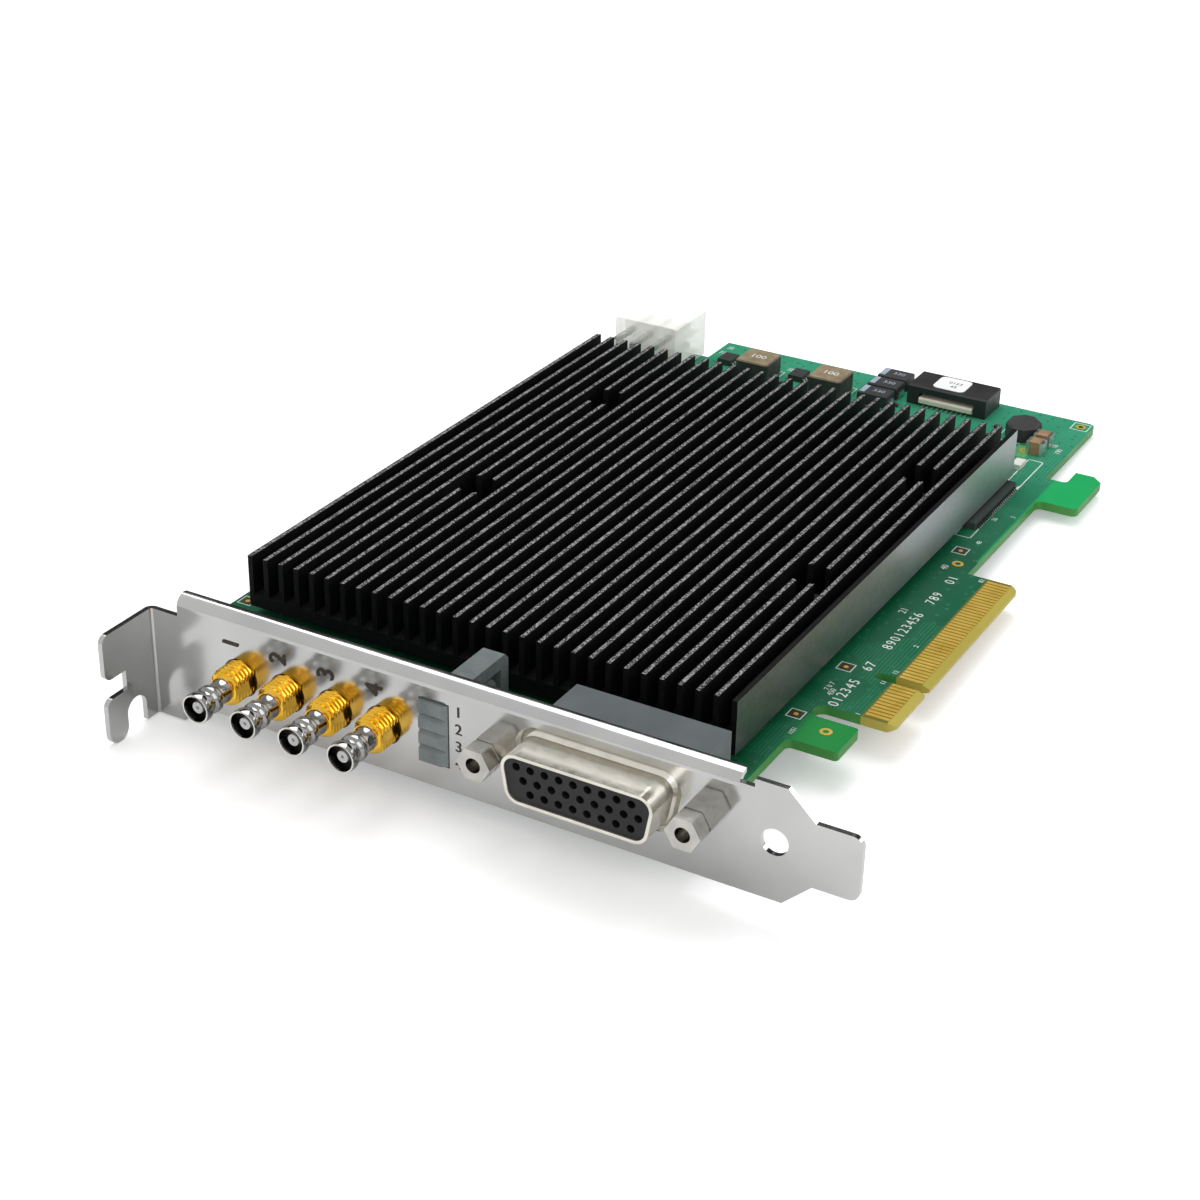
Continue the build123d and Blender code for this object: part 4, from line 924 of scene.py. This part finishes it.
# %% [markdown]
# ## Printed numbers
# The sockets are numbered 1 to 4 with dark digits on the bracket, turned to read upward,
# and the lamps have their own small 1 to 4. These are printed three times, a hair apart,
# which makes them bold. White digits on the board count the contacts. A picture of the
# digits would blur close up, so Blender's built-in font draws them as thin raised ink.

# %% A helper for digits
ink_half = 0.01 * mm        # half the thickness of the ink


def digit_mesh(text, size, space=1.0):
    """Points and faces of the text, its centre at the origin, lying in the XY plane."""
    curve = bpy.data.curves.new("ink", "FONT")
    curve.body = text
    curve.size = size
    curve.extrude = ink_half
    curve.space_character = space
    curve.align_x = "CENTER"
    curve.align_y = "CENTER"
    curve.resolution_u = 3
    holder = bpy.data.objects.new("ink", curve)
    bpy.context.scene.collection.objects.link(holder)
    bpy.context.view_layer.update()
    mesh = bpy.data.meshes.new_from_object(holder.evaluated_get(bpy.context.evaluated_depsgraph_get()))
    points = np.empty(len(mesh.vertices) * 3)
    mesh.vertices.foreach_get("co", points)
    faces = [tuple(p.vertices) for p in mesh.polygons]
    bpy.data.objects.remove(holder)
    bpy.data.curves.remove(curve)
    bpy.data.meshes.remove(mesh)
    return points.reshape(-1, 3), faces


def printed(name, marks, material, space=1.0):
    """One object from (text, size, centre, right, up) marks, each laid on its plane.

    Point = centre + x * right + y * up + z * (right cross up).
    """
    points, faces, count = [], [], 0
    for text, size, centre, right_way, up_way in marks:
        flat_points, flat_faces = digit_mesh(text, size, space)
        right_way, up_way = np.asarray(right_way, float), np.asarray(up_way, float)
        turn_to = np.stack([right_way, up_way, np.cross(right_way, up_way)])
        points.append(flat_points @ turn_to + np.asarray(centre))
        faces += [tuple(i + count for i in f) for f in flat_faces]
        count += len(flat_points)
    mesh = bpy.data.meshes.new(name)
    mesh.from_pydata(np.concatenate(points).tolist(), [], faces)
    print(name, "prints", len(marks), "marks")
    return placed(name, mesh, material)


ink_black = plain_finish("ink_black", (0.02, 0.02, 0.022), (0.045, 0.045, 0.048), (0.5, 0.6), patch=800.0)
ink_brown = plain_finish("ink_brown", (0.014, 0.009, 0.006), (0.045, 0.03, 0.02), (0.5, 0.6), patch=800.0)
ink_white = plain_finish("ink_white", (0.62, 0.68, 0.64), (0.78, 0.82, 0.79), (0.5, 0.6), patch=800.0)
ink_blue = plain_finish("ink_blue", (0.3, 0.36, 0.46), (0.42, 0.48, 0.58), (0.4, 0.5), patch=800.0)

# %% Numbers on the bracket
barrel_reach = 4.4 * mm     # how far the barrels stand out of the bracket
face_y = barrel_front + barrel_reach - ink_half
bold_shifts, layer, mark_offset = np.array((-0.14, 0.0, 0.14)) * mm, 0.004 * mm, 1.3 * mm
socket_mark, socket_mark_z, lamp_mark, lamp_mark_x = 4.3 * mm, 10.0 * mm, 2.5 * mm, -49.2 * mm
marks = []
for step, shift in enumerate(bold_shifts):
    y = face_y - step * layer
    marks += [(str(i), socket_mark, (x - mark_offset + shift, y, socket_mark_z + shift), up_z, minus_x)
              for i, x in enumerate(axes[:, 0], start=1)]
    marks += [(str(i), lamp_mark, (lamp_mark_x + shift / 2, y, z * mm), x_way, up_z)
              for i, z in enumerate((10.5, 7.6, 4.7, 1.8), start=1)]
printed("bracket_numbers", marks, ink_brown)

# %% [markdown]
# ## Pads and white outlines on the board
# Test pads are brown squares with a gold dot in a white frame, and white outlines frame
# parts and holes. The board's material could draw them, but each has a place of its own,
# and very thin blocks on the lacquer say so more plainly.

# %% Pads and outlines
def square_ring(x, y, half, line, z0, z1):
    """Four thin blocks along the inside of a square of side 2 * half, each line wide."""
    low = np.array([(x - half, y - half, z0), (x - half, y + half - line, z0),
                    (x - half, y - half + line, z0), (x + half - line, y - half + line, z0)])
    high = np.array([(x + half, y - half + line, z1), (x + half, y + half, z1),
                     (x - half + line, y + half - line, z1), (x + half, y + half - line, z1)])
    return blocks(low, high)


ink_top, pad_half = top + 0.02 * mm, 0.9 * mm
pad_spots = np.array([(-13.5, 47.1), (-13.75, -0.1), (-14.3, -17.15), (-106.8, -31.75)]) * mm
pads = [blocks((x - pad_half, y - pad_half, top), (x + pad_half, y + pad_half, ink_top))
        for x, y in pad_spots]
pad_brown = plain_finish("pad_brown", (0.03, 0.012, 0.005), (0.07, 0.03, 0.012), (0.35, 0.5), patch=900.0)
finished("pad_centres", *joined(*pads), pad_brown, "contact_gold", smooth=0)
light_patch = plain_finish("light_patch", (0.08, 0.3, 0.1), (0.13, 0.4, 0.15), (0.35, 0.5), patch=400.0)
finished("lacquer_patch", *blocks((-20.7 * mm, 89.4 * mm, top), (-17.7 * mm, 95.8 * mm, ink_top)),
         light_patch, "circuit_board", smooth=0)

# %% Rings and dots of bare copper
ring_spots = np.array([(-12.05, 42.2), (-8.2, -19.55), (-18.9, 92.5), (-13.5, 108.65)]) * mm
ring_profile = np.array([(0.0, 1.0), (0.03, 1.0), (0.03, 0.5), (0.0, 0.5)]) * mm
dot_profile = np.array([(0.0, 0.42), (0.02, 0.4), (0.02, 0.0)]) * mm
finished("round_pads", *joined(
    turned(ring_profile, np.c_[ring_spots, np.full(len(ring_spots), ink_top)], up_z, sides=28),
    turned(dot_profile, np.c_[pad_spots, np.full(len(pad_spots), ink_top)], up_z, sides=16)),
    finger_gold, "contact_gold")

# %% White outlines
frame_half, frame_line, outline_line = 1.3 * mm, 0.16 * mm, 0.18 * mm
long_low = np.array([(-16.9, 52.4, 0), (-16.9, 89.05, 0), (-16.9, 52.4, 0), (-14.05, 52.4, 0)]) * mm
long_high = np.array([(-13.85, 52.6, 0), (-13.85, 89.25, 0), (-16.7, 89.25, 0), (-13.85, 89.25, 0)]) * mm
long_low[:, 2], long_high[:, 2] = top, ink_top
outline = [blocks(long_low, long_high),
           blocks((-14.35 * mm, 63.6 * mm, top), (-14.05 * mm, 77.0 * mm, ink_top))]
outline += [square_ring(x, y, frame_half, frame_line, top, ink_top) for x, y in pad_spots]
outline += [square_ring(x * mm, y * mm, half * mm, outline_line, top, ink_top) for x, y, half in (
    (-78.2, 98.7, 4.2), (-62.25, 98.7, 4.2), (-21.7, 98.9, 4.0), (-13.5, 108.65, 1.7))]
finished("white_outlines", *joined(*outline), ink_white, "label_white", smooth=0)

# %% White digits on the board
def on_board(*rows):
    """Marks from (text, height, x, y) in millimetres, read from the side of the contacts."""
    return [(text, size * mm, (x * mm, y * mm, ink_top), y_way, minus_x) for text, size, x, y in rows]


printed("board_number_row", on_board(
    ("012345", 2.5, -10.6, -7.6), ("67", 2.5, -10.6, 1.9), ("890123456", 2.5, -10.6, 15.4),
    ("789", 2.5, -10.6, 28.4), ("01", 2.5, -10.6, 36.0)), ink_white, space=1.25)
printed("board_numbers", on_board(
    ("12", 1.2, -6.3, 2.3), ("11", 1.2, -6.7, -1.6), ("2", 1.2, -6.8, 11.7), ("1", 1.2, -6.2, -12.3),
    ("82", 1.2, -6.2, 38.4), ("40", 1.7, -13.5, 39.9), ("21", 1.9, -13.3, 21.8),
    ("48", 1.3, -11.9, 51.6), ("36", 1.3, -12.9, 61.7), ("3", 1.3, -10.4, 64.3),
    ("7 0 7", 1.3, -13.4, -6.9), ("450", 1.4, -12.4, -8.4), ("1051", 1.1, -12.6, -21.9),
    ("18", 1.6, -14.6, 97.3), ("190", 1.6, -13.2, 95.4), ("5", 1.3, -16.2, 92.0),
    ("22", 1.6, -89.6, 105.6), ("30", 1.6, -89.2, 108.6), ("30", 1.6, -73.6, 104.6),
    ("2", 1.3, -102.6, -31.8)),
    ink_white)

# %% Marks on the parts
marks = []
for name in ("inductor_core_1", "inductor_core_2"):
    low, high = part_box(name)
    middle = ((low[0] + high[0]) / 2, (low[1] + high[1]) / 2, high[2] + ink_half)
    marks.append(("100", 2.3 * mm, middle, x_way, y_way))
printed("inductor_marks", marks, ink_white)
bar_start, bar_end, bar_inset = 0.25 * mm, 1.35 * mm, 0.35 * mm
bars, numbers = [], []
for i in (1, 2, 3):
    low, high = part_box("polymer_capacitor_%d" % i)
    z = high[2]
    bars.append(blocks((low[0] + bar_start, low[1] + bar_inset, z),
                       (low[0] + bar_end, high[1] - bar_inset, z + 2 * ink_half)))
    middle = (low[0] + 3.8 * mm, (low[1] + high[1]) / 2, z + ink_half)
    numbers.append(("330", 1.7 * mm, middle, x_way, y_way))
finished("capacitor_bars", *joined(*bars), ink_blue, "label_white", smooth=0)
printed("capacitor_numbers", numbers, ink_blue)
low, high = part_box("socket_label")
z = high[2] + ink_half
centre_x, centre_y = (low[0] + high[0]) / 2, (low[1] + high[1]) / 2
printed("label_marks", [("0123", 1.4 * mm, (centre_x + 0.4 * mm, centre_y + 0.6 * mm, z), x_way, y_way),
                        ("45", 1.4 * mm, (centre_x + 0.6 * mm, centre_y - 1.2 * mm, z), x_way, y_way)],
        ink_black)
